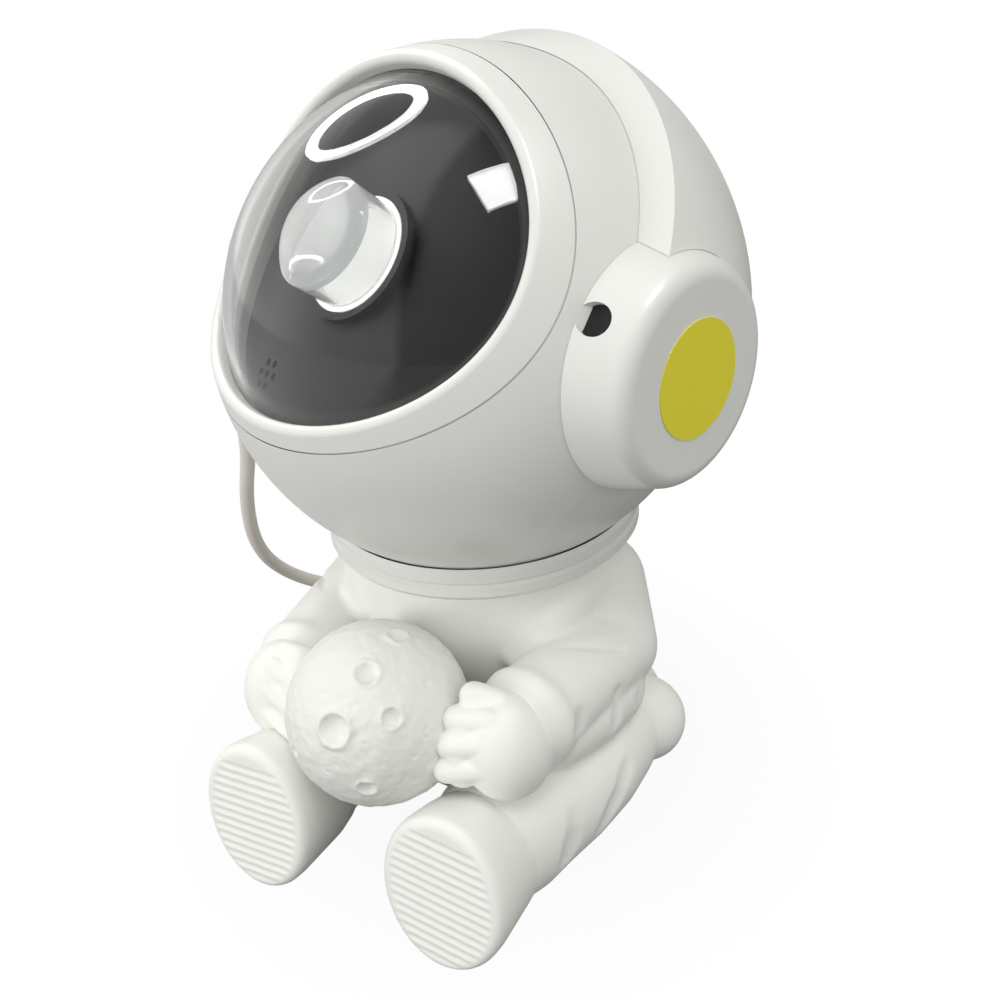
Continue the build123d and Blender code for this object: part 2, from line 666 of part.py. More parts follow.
def barrel():
    """The tube that holds lens and reflector, with a flange behind the mask."""
    shape = rod(BARREL_R, BARREL_REAR, BARREL_FRONT, 0, OPTIC_DROP)
    sag = MASK_SAG * ((BARREL_R + 3) / OPEN_W) ** 2
    flange_front = MASK_REAR - sag - SEAT_GAP
    shape += rod(BARREL_R + 3, flange_front - 1.6, flange_front, 0, OPTIC_DROP)
    shape -= rod(BARREL_BORE, REFLECTOR_REAR - SEAT_GAP, BARREL_FRONT + 1, 0, OPTIC_DROP)
    return shape - rod(REFLECTOR_THROAT, BARREL_REAR - 1, BARREL_REAR + 3, 0, OPTIC_DROP)


def reflector():
    """The bright cone behind the lens."""
    long = BARREL_FRONT - REFLECTOR_REAR
    plane = fwd(REFLECTOR_REAR, 0, OPTIC_DROP)
    align = (Align.CENTER, Align.CENTER, Align.MIN)
    shape = plane * Cone(REFLECTOR_THROAT + REFLECTOR_WALL, REFLECTOR_R, long, align=align)
    inner = Cone(REFLECTOR_THROAT, REFLECTOR_R - REFLECTOR_WALL, long, align=align)
    shape -= plane * inner
    return shape


def chassis():
    """The plate that carries motors, laser and lamp, with four posts for the main board."""
    shape = rod(CHASSIS_R, CHASSIS_AT, CHASSIS_FRONT)
    shape -= rod(CONDENSER_R + SHAFT_FIT, CHASSIS_AT - 1, CHASSIS_FRONT + 1, 0, OPTIC_DROP)
    shape -= rod(HUB_R + 1, CHASSIS_AT - 1, CHASSIS_FRONT + 1, RIPPLE_OFF, OPTIC_DROP)
    shape -= rod(MOTOR_SHAFT_R + 0.5, CHASSIS_AT - 1, CHASSIS_FRONT + 1, LASER_X, OPTIC_DROP + GRATING_OFF)
    shape += rod(LASER_R + 2, CHASSIS_AT - 6, CHASSIS_FRONT, LASER_X, OPTIC_DROP)
    shape -= rod(LASER_R + SHAFT_FIT, CHASSIS_AT - 7, CHASSIS_FRONT + 1, LASER_X, OPTIC_DROP)
    for across, up in post_places():
        shape += rod(POST_R, MAIN_BOARD_AT + BOARD_THICK + SEAT_GAP, CHASSIS_AT + 1, across, up)
        shape -= rod(SCREW_R + SHAFT_FIT, MAIN_BOARD_AT, MAIN_BOARD_AT + 12, across, up)
    for across, up in lamp_bolts():
        shape += rod(1.8, LED_BOARD_FRONT + SEAT_GAP, CHASSIS_AT + 1, across, up)
    for across, up, angle in ledge_spots():
        shape -= rod(SCREW_R + SEAT_GAP, CHASSIS_AT - 1, CHASSIS_FRONT + 1, across, up)
    return shape


def post_places():
    return [(x * POST_X, up * POST_UP) for x in (-1, 1) for up in (-1, 1)]


def lamp_bolts():
    """Stand-offs between chassis and lamp board, at two of its corners."""
    reach = LED_BOARD / 2 - 2.0
    return [(-reach, OPTIC_DROP + reach), (reach, OPTIC_DROP - reach),
            (-reach, OPTIC_DROP - reach), (reach, OPTIC_DROP + reach)]


def condenser():
    """The small lens in the chassis, in front of the lamps."""
    points = [(0, 0), (CONDENSER_R, 0), (CONDENSER_R, CHASSIS_THICK)]
    return turned(points, CONDENSER_THICK - CHASSIS_THICK, CHASSIS_AT, OPTIC_DROP)


def led_board():
    return block(LED_BOARD, LED_BOARD, LED_BOARD_REAR, LED_BOARD_FRONT, 0, OPTIC_DROP)


def leds():
    """Four lamp chips on the board."""
    half = LED_PITCH / 2
    chips = []
    for x in (-half, half):
        for up in (-half, half):
            chips.append(block(LED_SIZE, LED_SIZE, LED_BOARD_FRONT, LED_FACE, x, OPTIC_DROP + up))
    return Compound(chips)


def heatsink():
    """A finned block behind the lamp board."""
    rear = LED_BOARD_REAR - SINK_BASE
    shape = block(LED_BOARD, LED_BOARD, rear, LED_BOARD_REAR, 0, OPTIC_DROP)
    step = (LED_BOARD - SINK_FIN) / (SINK_FINS - 1)
    for i in range(SINK_FINS):
        x = -LED_BOARD / 2 + SINK_FIN / 2 + i * step
        shape += block(SINK_FIN, LED_BOARD, rear - SINK_FIN_TALL, rear + 0.5, x, OPTIC_DROP)
    return shape


def motor(radius, long, across, up):
    """A small round motor behind the chassis, bored for its shaft."""
    shape = rod(radius, CHASSIS_AT - long, CHASSIS_AT - SEAT_GAP, across, up)
    shape = fillet(shape.edges().sort_by(Axis.Y)[-1], 0.8)
    return shape - rod(MOTOR_SHAFT_R + SHAFT_FIT, CHASSIS_AT - long + 2, CHASSIS_AT, across, up)


def disc_shaft(long, across, up, front):
    """A motor's shaft, from inside the motor to the front of its disc's hub."""
    return rod(MOTOR_SHAFT_R, CHASSIS_AT - long + 2 + PLAY, front, across, up)


def ripple_disc():
    """A clear disc with shallow radial waves, on the nebula motor's shaft."""
    shape = rod(RIPPLE_R, RIPPLE_AT, RIPPLE_AT + RIPPLE_THICK, RIPPLE_OFF, OPTIC_DROP)
    for i in range(RIPPLES):
        trough = fwd(RIPPLE_AT + RIPPLE_THICK, RIPPLE_OFF, OPTIC_DROP) * Rot(0, 0, 360 * i / RIPPLES)
        shape -= trough * Pos(14.5, 0, 1.4) * Rot(0, 90, 0) * Cylinder(2.0, 15.0)
    shape += rod(HUB_R, RIPPLE_AT - 0.6, RIPPLE_AT + HUB_LONG, RIPPLE_OFF, OPTIC_DROP)
    return shape - rod(MOTOR_SHAFT_R, RIPPLE_AT - 2, RIPPLE_AT + HUB_LONG + 1, RIPPLE_OFF, OPTIC_DROP)


def grating_disc():
    """A thin clear disc in front of the laser, on the star motor's shaft."""
    up = OPTIC_DROP + GRATING_OFF
    shape = rod(GRATING_R, GRATING_AT, GRATING_AT + GRATING_THICK, LASER_X, up)
    shape += rod(HUB_R, GRATING_AT - 0.8, GRATING_AT + HUB_LONG, LASER_X, up)
    for i in range(3):
        a = 2 * pi * i / 3 + pi / 6
        shape -= rod(1.2, GRATING_AT - 1, GRATING_AT + 3, LASER_X + 5 * cos(a), up + 5 * sin(a))
    return shape - rod(MOTOR_SHAFT_R, GRATING_AT - 2, GRATING_AT + HUB_LONG + 1, LASER_X, up)


def laser():
    """The laser module: a stepped brass tube in the chassis."""
    shape = rod(LASER_R, LASER_FRONT - LASER_LONG, LASER_FRONT, LASER_X, OPTIC_DROP)
    shape -= rod(1.5, LASER_FRONT - 3, LASER_FRONT + 1, LASER_X, OPTIC_DROP)
    return shape


def main_board():
    """The controller board on the chassis posts, with its chips."""
    front = MAIN_BOARD_AT + BOARD_THICK
    shape = block(MAIN_BOARD_W, MAIN_BOARD_H, MAIN_BOARD_AT, front)
    shape += block(10, 10, front - 0.2, front + 1.4, -6, 4)
    shape += block(6, 5, front - 0.2, front + 1.6, 12, -8)
    shape += rod(3.2, MAIN_BOARD_AT - 7, MAIN_BOARD_AT + 0.2, 10, 8)
    shape += block(11, 6, MAIN_BOARD_AT - 5, MAIN_BOARD_AT + 0.2, -12, -12)
    for across, up in post_places():
        shape -= rod(SCREW_R + SEAT_GAP, MAIN_BOARD_AT - 1, front + 1, across, up)
    return shape


def board_screws():
    """Four screws through the main board into the posts."""
    screws = []
    for across, up in post_places():
        plane = Plane(origin=(across, -MAIN_BOARD_AT, up), x_dir=(1, 0, 0), z_dir=(0, 1, 0))
        screws.append(plane * screw(8.0))
    return Compound(screws)


def chassis_screws():
    """Four screws through the chassis into the ledge."""
    screws = []
    for across, up, angle in ledge_spots():
        screws.append(fwd(CHASSIS_FRONT, across, up) * screw(CHASSIS_THICK + LEDGE_THICK))
    return Compound(screws)


# ---------------------------------------------------------------- buttons
def button_cap(across):
    """A crowned oblong cap with a flange that keeps it in."""
    shape = pill(0, BUTTON_FOOT, BIG, across) & Sphere(SHELL_R + BUTTON_PROUD)
    flange_low = BUTTON_FOOT
    return shape + pill(BUTTON_FLANGE, flange_low, flange_low + 1.2, across)


def button_board():
    """The board under the caps, with three switches on it."""
    low = BUTTON_BOARD_FACE - BOARD_THICK
    shape = button_frame() * Pos(0, 0, low + BOARD_THICK / 2) * Box(BUTTON_BOARD_W, BUTTON_BOARD_H, BOARD_THICK)
    for across in button_places():
        tall = SWITCH_TALL + 0.2
        shape += button_frame() * Pos(across, 0, BUTTON_BOARD_FACE - 0.2 + tall / 2) * Box(SWITCH_SIZE, SWITCH_SIZE, tall)
    return shape


def ir_window():
    """The remote control's dark window beside the buttons."""
    shape = button_frame() * Pos(IR_X, -7.0, SHELL_IN - 8.5) * Cylinder(IR_R, 30)
    return shape & ball_shell(SHELL_R, SHELL_IN - 3.5)


# ---------------------------------------------------------------- neck
def seat_plate():
    """The steel plate inside the helmet, over the neck magnet."""
    strip = Pos(0, 0, -SHELL_R) * Box(PLATE_W, PLATE_L, SHELL_R)
    top = SHELL_IN - LIP_WALL - SEAT_GAP
    shape = ball_shell(top, top - PLATE_THICK) & strip
    return Rot(HEAD_NOD, 0, 0) * shape


def collar():
    """The two-ridged neck ring with the floor that the swivel seat turns in."""
    top_ridge = COLLAR_R - 0.3
    points = [(SWIVEL_R + PLAY, FLOOR_Z), (SKIRT_R, FLOOR_Z), (SKIRT_R, COLLAR_BOTTOM),
              (COLLAR_R - 0.8, COLLAR_BOTTOM), (COLLAR_R, COLLAR_BOTTOM + 1.1),
              (COLLAR_R, COLLAR_BOTTOM + 3.2), (COLLAR_R - 0.9, COLLAR_BOTTOM + 3.9),
              (top_ridge, COLLAR_BOTTOM + 4.6), (top_ridge, COLLAR_TOP - 1.5),
              (COLLAR_R - 1.2, COLLAR_TOP), (SKIRT_R - SKIRT_WALL, COLLAR_TOP),
              (SKIRT_R - SKIRT_WALL, FLOOR_Z + FLOOR_THICK), (SWIVEL_R + PLAY, FLOOR_Z + FLOOR_THICK)]
    profile = Plane.XZ * make_face(Polyline(*points, close=True))
    shape = revolve(profile, Axis.Z)
    shape -= Pos(0, 0, HEAD_Z) * Sphere(SHELL_R + COLLAR_GAP)
    for x, y in retainer_places():
        shape += Pos(x, y, FLOOR_Z - SWIVEL_FLANGE_THICK - 2 * PLAY) * Cylinder(
            BOSS_R, SWIVEL_FLANGE_THICK + 2 * PLAY + 1, align=(Align.CENTER, Align.CENTER, Align.MIN))
        shape -= Pos(x, y, FLOOR_Z - 4) * Cylinder(
            SCREW_R + SHAFT_FIT, FLOOR_THICK + 3, align=(Align.CENTER, Align.CENTER, Align.MIN))
    return shape


def retainer_places():
    return [(RETAINER_SCREW_CIRCLE * cos(2 * pi * i / RETAINER_SCREWS + pi / 2),
             RETAINER_SCREW_CIRCLE * sin(2 * pi * i / RETAINER_SCREWS + pi / 2)) for i in range(RETAINER_SCREWS)]


SWIVEL_LOW = FLOOR_Z - PLAY - SWIVEL_FLANGE_THICK


def swivel_seat():
    """The cup under the helmet, which turns in the collar's floor and holds the magnet."""
    align = (Align.CENTER, Align.CENTER, Align.MIN)
    high = COLLAR_TOP - SWIVEL_LOW
    shape = Pos(0, 0, SWIVEL_LOW) * Cylinder(SWIVEL_R, high, align=align)
    shape += Pos(0, 0, SWIVEL_LOW) * Cylinder(SWIVEL_R + SWIVEL_FLANGE, SWIVEL_FLANGE_THICK, align=align)
    shape -= Pos(0, 0, HEAD_Z) * Sphere(SHELL_R + PLAY)
    return shape - Pos(0, 0, SWIVEL_LOW - 1) * Cylinder(MAGNET_R + SEAT_GAP, MAGNET_THICK + 1 + SEAT_GAP, align=align)


def magnet():
    return Pos(0, 0, SWIVEL_LOW) * Cylinder(MAGNET_R, MAGNET_THICK, align=(Align.CENTER, Align.CENTER, Align.MIN))


def retainer():
    """The ring that keeps the swivel seat up in the collar."""
    align = (Align.CENTER, Align.CENTER, Align.MAX)
    top = SWIVEL_LOW - PLAY
    shape = Pos(0, 0, top) * Cylinder(RETAINER_R, RETAINER_THICK, align=align)
    shape -= Pos(0, 0, top + 1) * Cylinder(RETAINER_BORE, RETAINER_THICK + 2, align=align)
    for x, y in retainer_places():
        shape -= Pos(x, y, top + 1) * Cylinder(SCREW_R + SEAT_GAP, RETAINER_THICK + 2, align=align)
    return shape


def retainer_screws():
    screws = []
    low = SWIVEL_LOW - PLAY - RETAINER_THICK
    for x, y in retainer_places():
        screws.append(Pos(x, y, low) * Rot(180, 0, 0) * screw(6.5))
    return Compound(screws)


# ---------------------------------------------------------------- trunk
def trunk_form(inset, low, high):
    """The trunk's outline, drawn in by inset and running from low to high."""
    span = BODY_TOP - BODY_BOTTOM
    heights = [low, BODY_BOTTOM + 0.14 * span, BODY_BOTTOM + 0.45 * span, BODY_BOTTOM + 0.78 * span, high]
    widths = [HIP_R - FOOT_IN, HIP_R, WAIST_R, CHEST_R, CHEST_R - 0.5]
    depths = [BELLY - FOOT_IN, BELLY, BELLY, CHEST_R - 1.5, CHEST_R - 1.5]
    shifts = [BACK_SHIFT, BACK_SHIFT, BACK_SHIFT, 1.0, 0.0]
    rings = []
    for z, half_w, half_d, back in zip(heights, widths, depths, shifts):
        rings.append(Pos(0, back, z) * Ellipse(half_w - inset, half_d - inset))
    return loft(rings)


def trunk_shell():
    """The hollow trunk, open at the neck and the bottom."""
    shape = trunk_form(0, BODY_BOTTOM, BODY_TOP)
    shape -= trunk_form(BODY_WALL, BODY_BOTTOM - 0.5, BODY_TOP - BODY_WALL)
    return shape - Pos(0, 0, BODY_TOP) * Cylinder(SKIRT_R + SEAT_GAP, 4 * BODY_WALL)


def half(front):
    """All the space in front of, or behind, the trunk's seam."""
    far = BIG / 2 + SEAT_GAP / 2
    return Pos(0, BODY_SPLIT_Y + (-far if front else far), 0) * Box(2 * BIG, BIG, 4 * BIG)


def trunk_front():
    """The front of the trunk."""
    return trunk_shell() & half(True)


def trunk_rear():
    """The back of the trunk, with the rounded pack low on each side."""
    shape = trunk_shell() & half(False)
    for side in (1, -1):
        x, y, z = HIP_LOBE
        lobe = Pos(side * x, y, z) * Sphere(HIP_LOBE_R)
        shape += (lobe - trunk_form(BODY_WALL / 2, BODY_BOTTOM, BODY_TOP)) & half(False)
        shape += lobe - trunk_form(-SEAT_GAP, BODY_BOTTOM, BODY_TOP)
    return shape


# ---------------------------------------------------------------- limbs
def lower(point, drop):
    """A point brought down by that much."""
    return (point[0], point[1], point[2] - drop)


def arm(drop=0.0):
    """The left sleeve: upper arm, elbow, forearm and cuff, with the wrist brought down."""
    wrist = lower(WRIST, drop)
    along = (Vector(*wrist) - Vector(*ELBOW)).normalized()
    mouth = Plane(origin=wrist, z_dir=along)
    shape = limb([SHOULDER, ELBOW, wrist], [SHOULDER_R, ELBOW_R, WRIST_R])
    shape += bar(tuple(Vector(*wrist) - along * CUFF_LONG), wrist, CUFF_R, CUFF_R)
    beyond = tuple(Vector(*wrist) + along * CUFF_R)
    inner = limb([SHOULDER, ELBOW, beyond], [r - SLEEVE_WALL for r in (SHOULDER_R, ELBOW_R, WRIST_R)])
    shape -= mouth * Box(BIG, BIG, BIG, align=(Align.CENTER, Align.CENTER, Align.MIN))
    shape -= inner
    return shape - trunk_form(-SEAT_GAP, BODY_BOTTOM, BODY_TOP) - leg_form(-SEAT_GAP) - boot_space(SEAT_GAP)


def hand(drop=0.0):
    """The left mitten hand: a palm and four fingers against the moon, brought down."""
    palm = lower(PALM, drop)
    shape = limb([lower(PALM_ROOT, drop), palm], [PALM_ROOT_R, PALM_R])
    for knuckle, tip in FINGERS:
        shape += limb([palm, lower(knuckle, drop), lower(tip, drop)], [FINGER_R] * 3)
    shape -= Pos(0, MOON_Y, MOON_Z) * Sphere(MOON_R + SEAT_GAP)
    return shape - arm(drop) - boot_space(SEAT_GAP) - leg_form(-SEAT_GAP)


def leg_form(inset):
    """The left trouser leg's outline, drawn in by inset."""
    rings = []
    for ahead, across, up, half_w, half_h, corner in LEG_RINGS:
        outline = RectangleRounded(2 * (half_w - inset), 2 * (half_h - inset), corner - inset)
        rings.append(fwd(ahead, across, up) * outline)
    return loft(rings)


def leg():
    """The left trouser leg, flat underneath, open into boot and trunk."""
    shape = leg_form(0) - leg_form(LEG_WALL)
    shape -= boot_space(SEAT_GAP)
    shape -= trunk_form(-SEAT_GAP, BODY_BOTTOM, BODY_TOP)
    footprint = Ellipse(HIP_R - FOOT_IN + SEAT_GAP, BELLY - FOOT_IN + SEAT_GAP)
    shape -= Pos(0, BACK_SHIFT, 0) * extrude(footprint, BODY_BOTTOM + SEAT_GAP)
    shape -= Pos(*HIP_LOBE) * Sphere(HIP_LOBE_R + SEAT_GAP)
    return shape.solids().sort_by(SortBy.VOLUME)[-1]


def sole_plane():
    """On the sole: x across, y up the sole, z out of it."""
    return Plane(origin=(BOOT_X, SOLE_Y, SOLE_Z), x_dir=(1, 0, 0),
                 z_dir=(0, -cos(radians(SOLE_LEAN)), sin(radians(SOLE_LEAN))))


def boot_space(grow):
    """The boot's raw form, from its sole back to the ankle."""
    back = sole_plane().offset(-BOOT_LONG)
    rings = [back * Ellipse(BOOT_REAR_W + grow, BOOT_REAR_H + grow),
             sole_plane() * Ellipse(SOLE_W + grow, SOLE_H + grow)]
    return loft(rings, ruled=True)


def boot():
    """The left boot: rounded, with shallow cross ribs in the sole and hollow inside."""
    shape = boot_space(0)
    shape = fillet(shape.edges().sort_by(Axis.Y)[0], BOOT_EDGE)
    pitch = 2 * (SOLE_H - BOOT_EDGE - 1) / RIBS
    for i in range(RIBS):
        up = (i - (RIBS - 1) / 2) * pitch
        reach = (SOLE_W - BOOT_EDGE - 0.6) * sqrt(max(1 - (up / (SOLE_H - BOOT_EDGE)) ** 2, 0.05))
        shape -= sole_plane() * Pos(0, up, 0) * Box(2 * reach, pitch * 0.45, 2 * RIB_DEEP)
    hollow = loft([sole_plane().offset(-BOOT_LONG - 1) * Ellipse(BOOT_REAR_W - LEG_WALL, BOOT_REAR_H - LEG_WALL),
                   sole_plane().offset(-3.0) * Ellipse(SOLE_W - LEG_WALL - 2, SOLE_H - LEG_WALL - 2)], ruled=True)
    shape -= hollow
    floor = Box(4 * BIG, 4 * BIG, BIG, align=(Align.CENTER, Align.CENTER, Align.MAX))
    return shape - floor


def moon():
    """The hollow moon ball with its larger craters."""
    shape = Rot(90, 0, 0) * Sphere(MOON_R)
    for bearing, height, radius in CRATERS:
        across = radians(bearing)
        up = radians(height)
        spot = Vector(sin(across) * cos(up), -cos(across) * cos(up), sin(up))
        bite_r = (radius ** 2 + CRATER_DEEP ** 2) / (2 * CRATER_DEEP)
        bite = Plane(origin=spot * (MOON_R + bite_r - CRATER_DEEP), z_dir=spot) * Sphere(bite_r)
        shape -= bite
    shape -= Rot(90, 0, 0) * Sphere(MOON_R - MOON_WALL)
    return Pos(0, MOON_Y, MOON_Z) * shape - trunk_form(-SEAT_GAP, BODY_BOTTOM, BODY_TOP)


# ---------------------------------------------------------------- base
def base_cover():
    """The plate that closes the trunk's bottom, with a pocket for the non-slip pad."""
    inset = FOOT_IN + BODY_WALL + PLAY
    plate = Pos(0, BACK_SHIFT, BODY_BOTTOM) * extrude(Ellipse(HIP_R - inset, BELLY - inset), BASE_THICK)
    return plate - Pos(0, BACK_SHIFT, 0) * extrude(Ellipse(PAD_W + SEAT_GAP, PAD_L + SEAT_GAP),
                                                   BODY_BOTTOM + PAD_POCKET)


def foot_pad():
    """The oval non-slip pad that the figure stands on."""
    return Pos(0, BACK_SHIFT, 0) * extrude(Ellipse(PAD_W, PAD_L), BODY_BOTTOM + PAD_POCKET - SHAFT_FIT)


def ballast():
    """The steel weight on the base cover."""
    top = BODY_BOTTOM + BASE_THICK + SEAT_GAP
    return Pos(0, BACK_SHIFT, top) * Cylinder(BALLAST_R, BALLAST_THICK, align=(Align.CENTER, Align.CENTER, Align.MIN))


# ---------------------------------------------------------------- writing
def main():
    head = {
        "helmet_front_shell": front_shell(),
        "helmet_rear_shell": rear_shell(),
        "helmet_hood": hood(),
        "visor_bezel": bezel(),
        "visor_dome": dome(),
        "inner_mask": mask(),
        "ear_cup_left": ear_cup(),
        "ear_cup_right": flip(ear_cup()),
        "blank_notice_disc": notice(),
        "projection_lens": lens(),
        "lens_barrel": barrel(),
        "reflector_cone": reflector(),
        "optics_chassis": chassis(),
        "condenser_lens": condenser(),
        "led_board": led_board(),
        "led_chips": leds(),
        "led_heatsink": heatsink(),
        "nebula_motor": motor(NEBULA_MOTOR_R, NEBULA_MOTOR_LONG, RIPPLE_OFF, OPTIC_DROP),
        "star_motor": motor(STAR_MOTOR_R, STAR_MOTOR_LONG, LASER_X, OPTIC_DROP + GRATING_OFF),
        "ripple_disc": ripple_disc(),
        "grating_disc": grating_disc(),
        "nebula_motor_shaft": disc_shaft(NEBULA_MOTOR_LONG, RIPPLE_OFF, OPTIC_DROP, RIPPLE_AT + HUB_LONG),
        "star_motor_shaft": disc_shaft(STAR_MOTOR_LONG, LASER_X, OPTIC_DROP + GRATING_OFF, GRATING_AT + HUB_LONG),
        "laser_module": laser(),
        "main_board": main_board(),
        "board_screws": board_screws(),
        "chassis_screws": chassis_screws(),
        "button_board": button_board(),
        "ir_window": ir_window(),
        "head_seat_plate": seat_plate(),
    }
    for name, across in zip(("button_left", "button_middle", "button_right"), reversed(button_places())):
        head[name] = button_cap(across)
    figure = {
        "neck_collar": collar(),
        "swivel_seat": swivel_seat(),
        "neck_magnet": magnet(),
        "seat_retainer": retainer(),
        "retainer_screws": retainer_screws(),
        "trunk_front_shell": trunk_front(),
        "trunk_rear_shell": trunk_rear(),
        "arm_left": arm(),
        "arm_right": flip(arm(RIGHT_DROP)),
        "hand_left": hand(),
        "hand_right": flip(hand(RIGHT_DROP)),
        "leg_left": leg(),
        "leg_right": flip(leg()),
        "boot_left": boot(),
        "boot_right": flip(boot()),
        "moon_ball": moon(),
        "base_cover": base_cover(),
        "foot_pad": foot_pad(),
        "base_ballast": ballast(),
        "cord_strain_relief": strain_relief(),
        "lead_coil": coil(),
        "plug_grip": plug_overmould(),
        "plug_shell": plug_shell(),
    }
    tubes, long = lead_tubes()
    for name, shape in zip(("lead_upper", "lead_lower", "lead_on_table"), tubes):
        figure[name] = shape
    tail = tail_points()
    figure["lead_tail"], tail_long = tube(tail, radii_of(tail))
    turns = (LEAD_LONG - long - tail_long) / (2 * pi * COIL_MID_R)
    print("turns in the coil", round(turns, 2), "of", COIL_WIDE * COIL_HIGH)
    for name, shape in head.items():
        export_step(HEAD * shape, f"parts/{name}.step")
    for name, shape in figure.items():
        export_step(shape, f"parts/{name}.step")


main()
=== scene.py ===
from math import cos, pi, radians, sin

import bpy
from mathutils import Matrix, Vector


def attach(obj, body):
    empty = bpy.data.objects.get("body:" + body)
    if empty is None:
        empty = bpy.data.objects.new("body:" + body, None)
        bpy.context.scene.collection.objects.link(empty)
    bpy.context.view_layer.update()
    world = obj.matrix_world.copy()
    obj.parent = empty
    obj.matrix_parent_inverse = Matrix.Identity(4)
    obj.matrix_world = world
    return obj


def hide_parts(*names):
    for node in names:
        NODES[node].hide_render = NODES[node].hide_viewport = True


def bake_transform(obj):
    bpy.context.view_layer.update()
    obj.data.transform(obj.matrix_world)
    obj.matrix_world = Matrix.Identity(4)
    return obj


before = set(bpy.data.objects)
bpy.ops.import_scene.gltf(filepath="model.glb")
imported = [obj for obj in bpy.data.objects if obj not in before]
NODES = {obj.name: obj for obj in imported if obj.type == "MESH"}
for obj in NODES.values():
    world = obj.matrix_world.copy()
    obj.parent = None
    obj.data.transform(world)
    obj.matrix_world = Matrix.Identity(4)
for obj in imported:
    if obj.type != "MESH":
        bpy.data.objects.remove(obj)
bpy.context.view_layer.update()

bl_info = {
    "name": "Seated astronaut projector",
    "version": (1, 0, 0),
    "blender": (4, 5, 0),
    "location": "3D View > Sidebar > Projector",
    "description": "Builds the looks of a seated astronaut planetarium projector on its CAD frame",
    "category": "Add Mesh",
}

# Places and sizes are in millimetres, unless a comment says otherwise; Blender's are in metres
MM = 0.001

# The helmet's centre and radius, and its axes at rest: out of the visor and out of the left ear
HEAD = Vector((0.0, 0.0, 124.8))
HELMET_R = 60.0
FORWARD = Vector((-0.2324, -0.7416, 0.6293))
EAR = Vector((0.9542, -0.2990, 0.0))
# A block that is wider than the figure; it cuts off what lies below its top
STAND_BLOCK = (400.0, 400.0, 100.0)


# ---------------------------------------------------------------- selection and small mesh tools
def mm(point):
    """A point or size in millimetres, in metres."""
    return Vector(point) * MM


def deselect():
    """Leaves edit mode and selects nothing."""
    if bpy.context.object and bpy.context.object.mode != "OBJECT":
        bpy.ops.object.mode_set(mode="OBJECT")
    bpy.ops.object.select_all(action="DESELECT")


def take(obj):
    """Makes this the one selected and active object."""
    deselect()
    obj.select_set(True)
    bpy.context.view_layer.objects.active = obj


def settle(obj, name):
    """Names a piece and puts its place, turn and scale into its mesh."""
    take(obj)
    bpy.ops.object.transform_apply(location=True, rotation=True, scale=True)
    obj.name = name
    obj.data.name = name
    return obj


def apply(obj, kind, **settings):
    """Adds a modifier with these settings and applies it."""
    take(obj)
    modifier = obj.modifiers.new(kind.lower(), kind)
    for key, value in settings.items():
        setattr(modifier, key, value)
    bpy.ops.object.modifier_apply(modifier=modifier.name)


def join(parts, name):
    """One object of several."""
    take(parts[0])
    for part in parts:
        part.select_set(True)
    bpy.ops.object.join()
    return settle(parts[0], name)


def reskin(obj, cell, soften=0):
    """One closed skin of cells of this size, with its creases softened this many times."""
    apply(obj, "REMESH", mode="VOXEL", voxel_size=cell * MM)
    if soften:
        apply(obj, "SMOOTH", factor=0.5, iterations=soften)
    return obj


def fuse(parts, name, cell, soften=0):
    """One closed skin over several forms."""
    return reskin(join(parts, name), cell, soften)


def carve(obj, cutter):
    """Cuts a piece with another, which is used up."""
    apply(obj, "BOOLEAN", operation="DIFFERENCE", object=cutter, solver="EXACT")
    bpy.data.objects.remove(cutter)
    return obj


def smooth(obj, angle=None):
    """Smooth shading, all over or up to this angle between faces, in degrees."""
    take(obj)
    if angle is None:
        bpy.ops.object.shade_smooth()
    else:
        bpy.ops.object.shade_smooth_by_angle(angle=radians(angle))


def stand(obj, height):
    """Gives a piece a flat underside at this height."""
    bpy.ops.mesh.primitive_cube_add(size=1.0, location=mm((0, 0, height - STAND_BLOCK[2] / 2)))
    block = bpy.context.object
    block.scale = mm(STAND_BLOCK)
    return carve(obj, settle(block, "block"))


def ball(centre, radii, segments=48):
    """A ball or egg; radii may be one number or three."""
    if isinstance(radii, (int, float)):
        radii = (radii, radii, radii)
    bpy.ops.mesh.primitive_uv_sphere_add(
        segments=segments, ring_count=segments // 2, radius=1.0, location=mm(centre))
    obj = bpy.context.object
    obj.scale = mm(radii)
    return settle(obj, "ball")


def rod(a, b, start_r, end_r):
    """A tapered rod between two points."""
    a, b = mm(a), mm(b)
    along = b - a
    bpy.ops.mesh.primitive_cone_add(
        vertices=40, radius1=start_r * MM, radius2=end_r * MM, depth=along.length,
        location=(a + b) / 2, rotation=along.to_track_quat("Z", "Y").to_euler())
    return settle(bpy.context.object, "rod")


def limb(points, radii):
    """Balls at the points with tapered rods between them."""
    parts = [ball(points[0], radii[0], segments=32)]
    for i in range(1, len(points)):
        parts.append(rod(points[i - 1], points[i], radii[i - 1], radii[i]))
        parts.append(ball(points[i], radii[i], segments=32))
    return parts


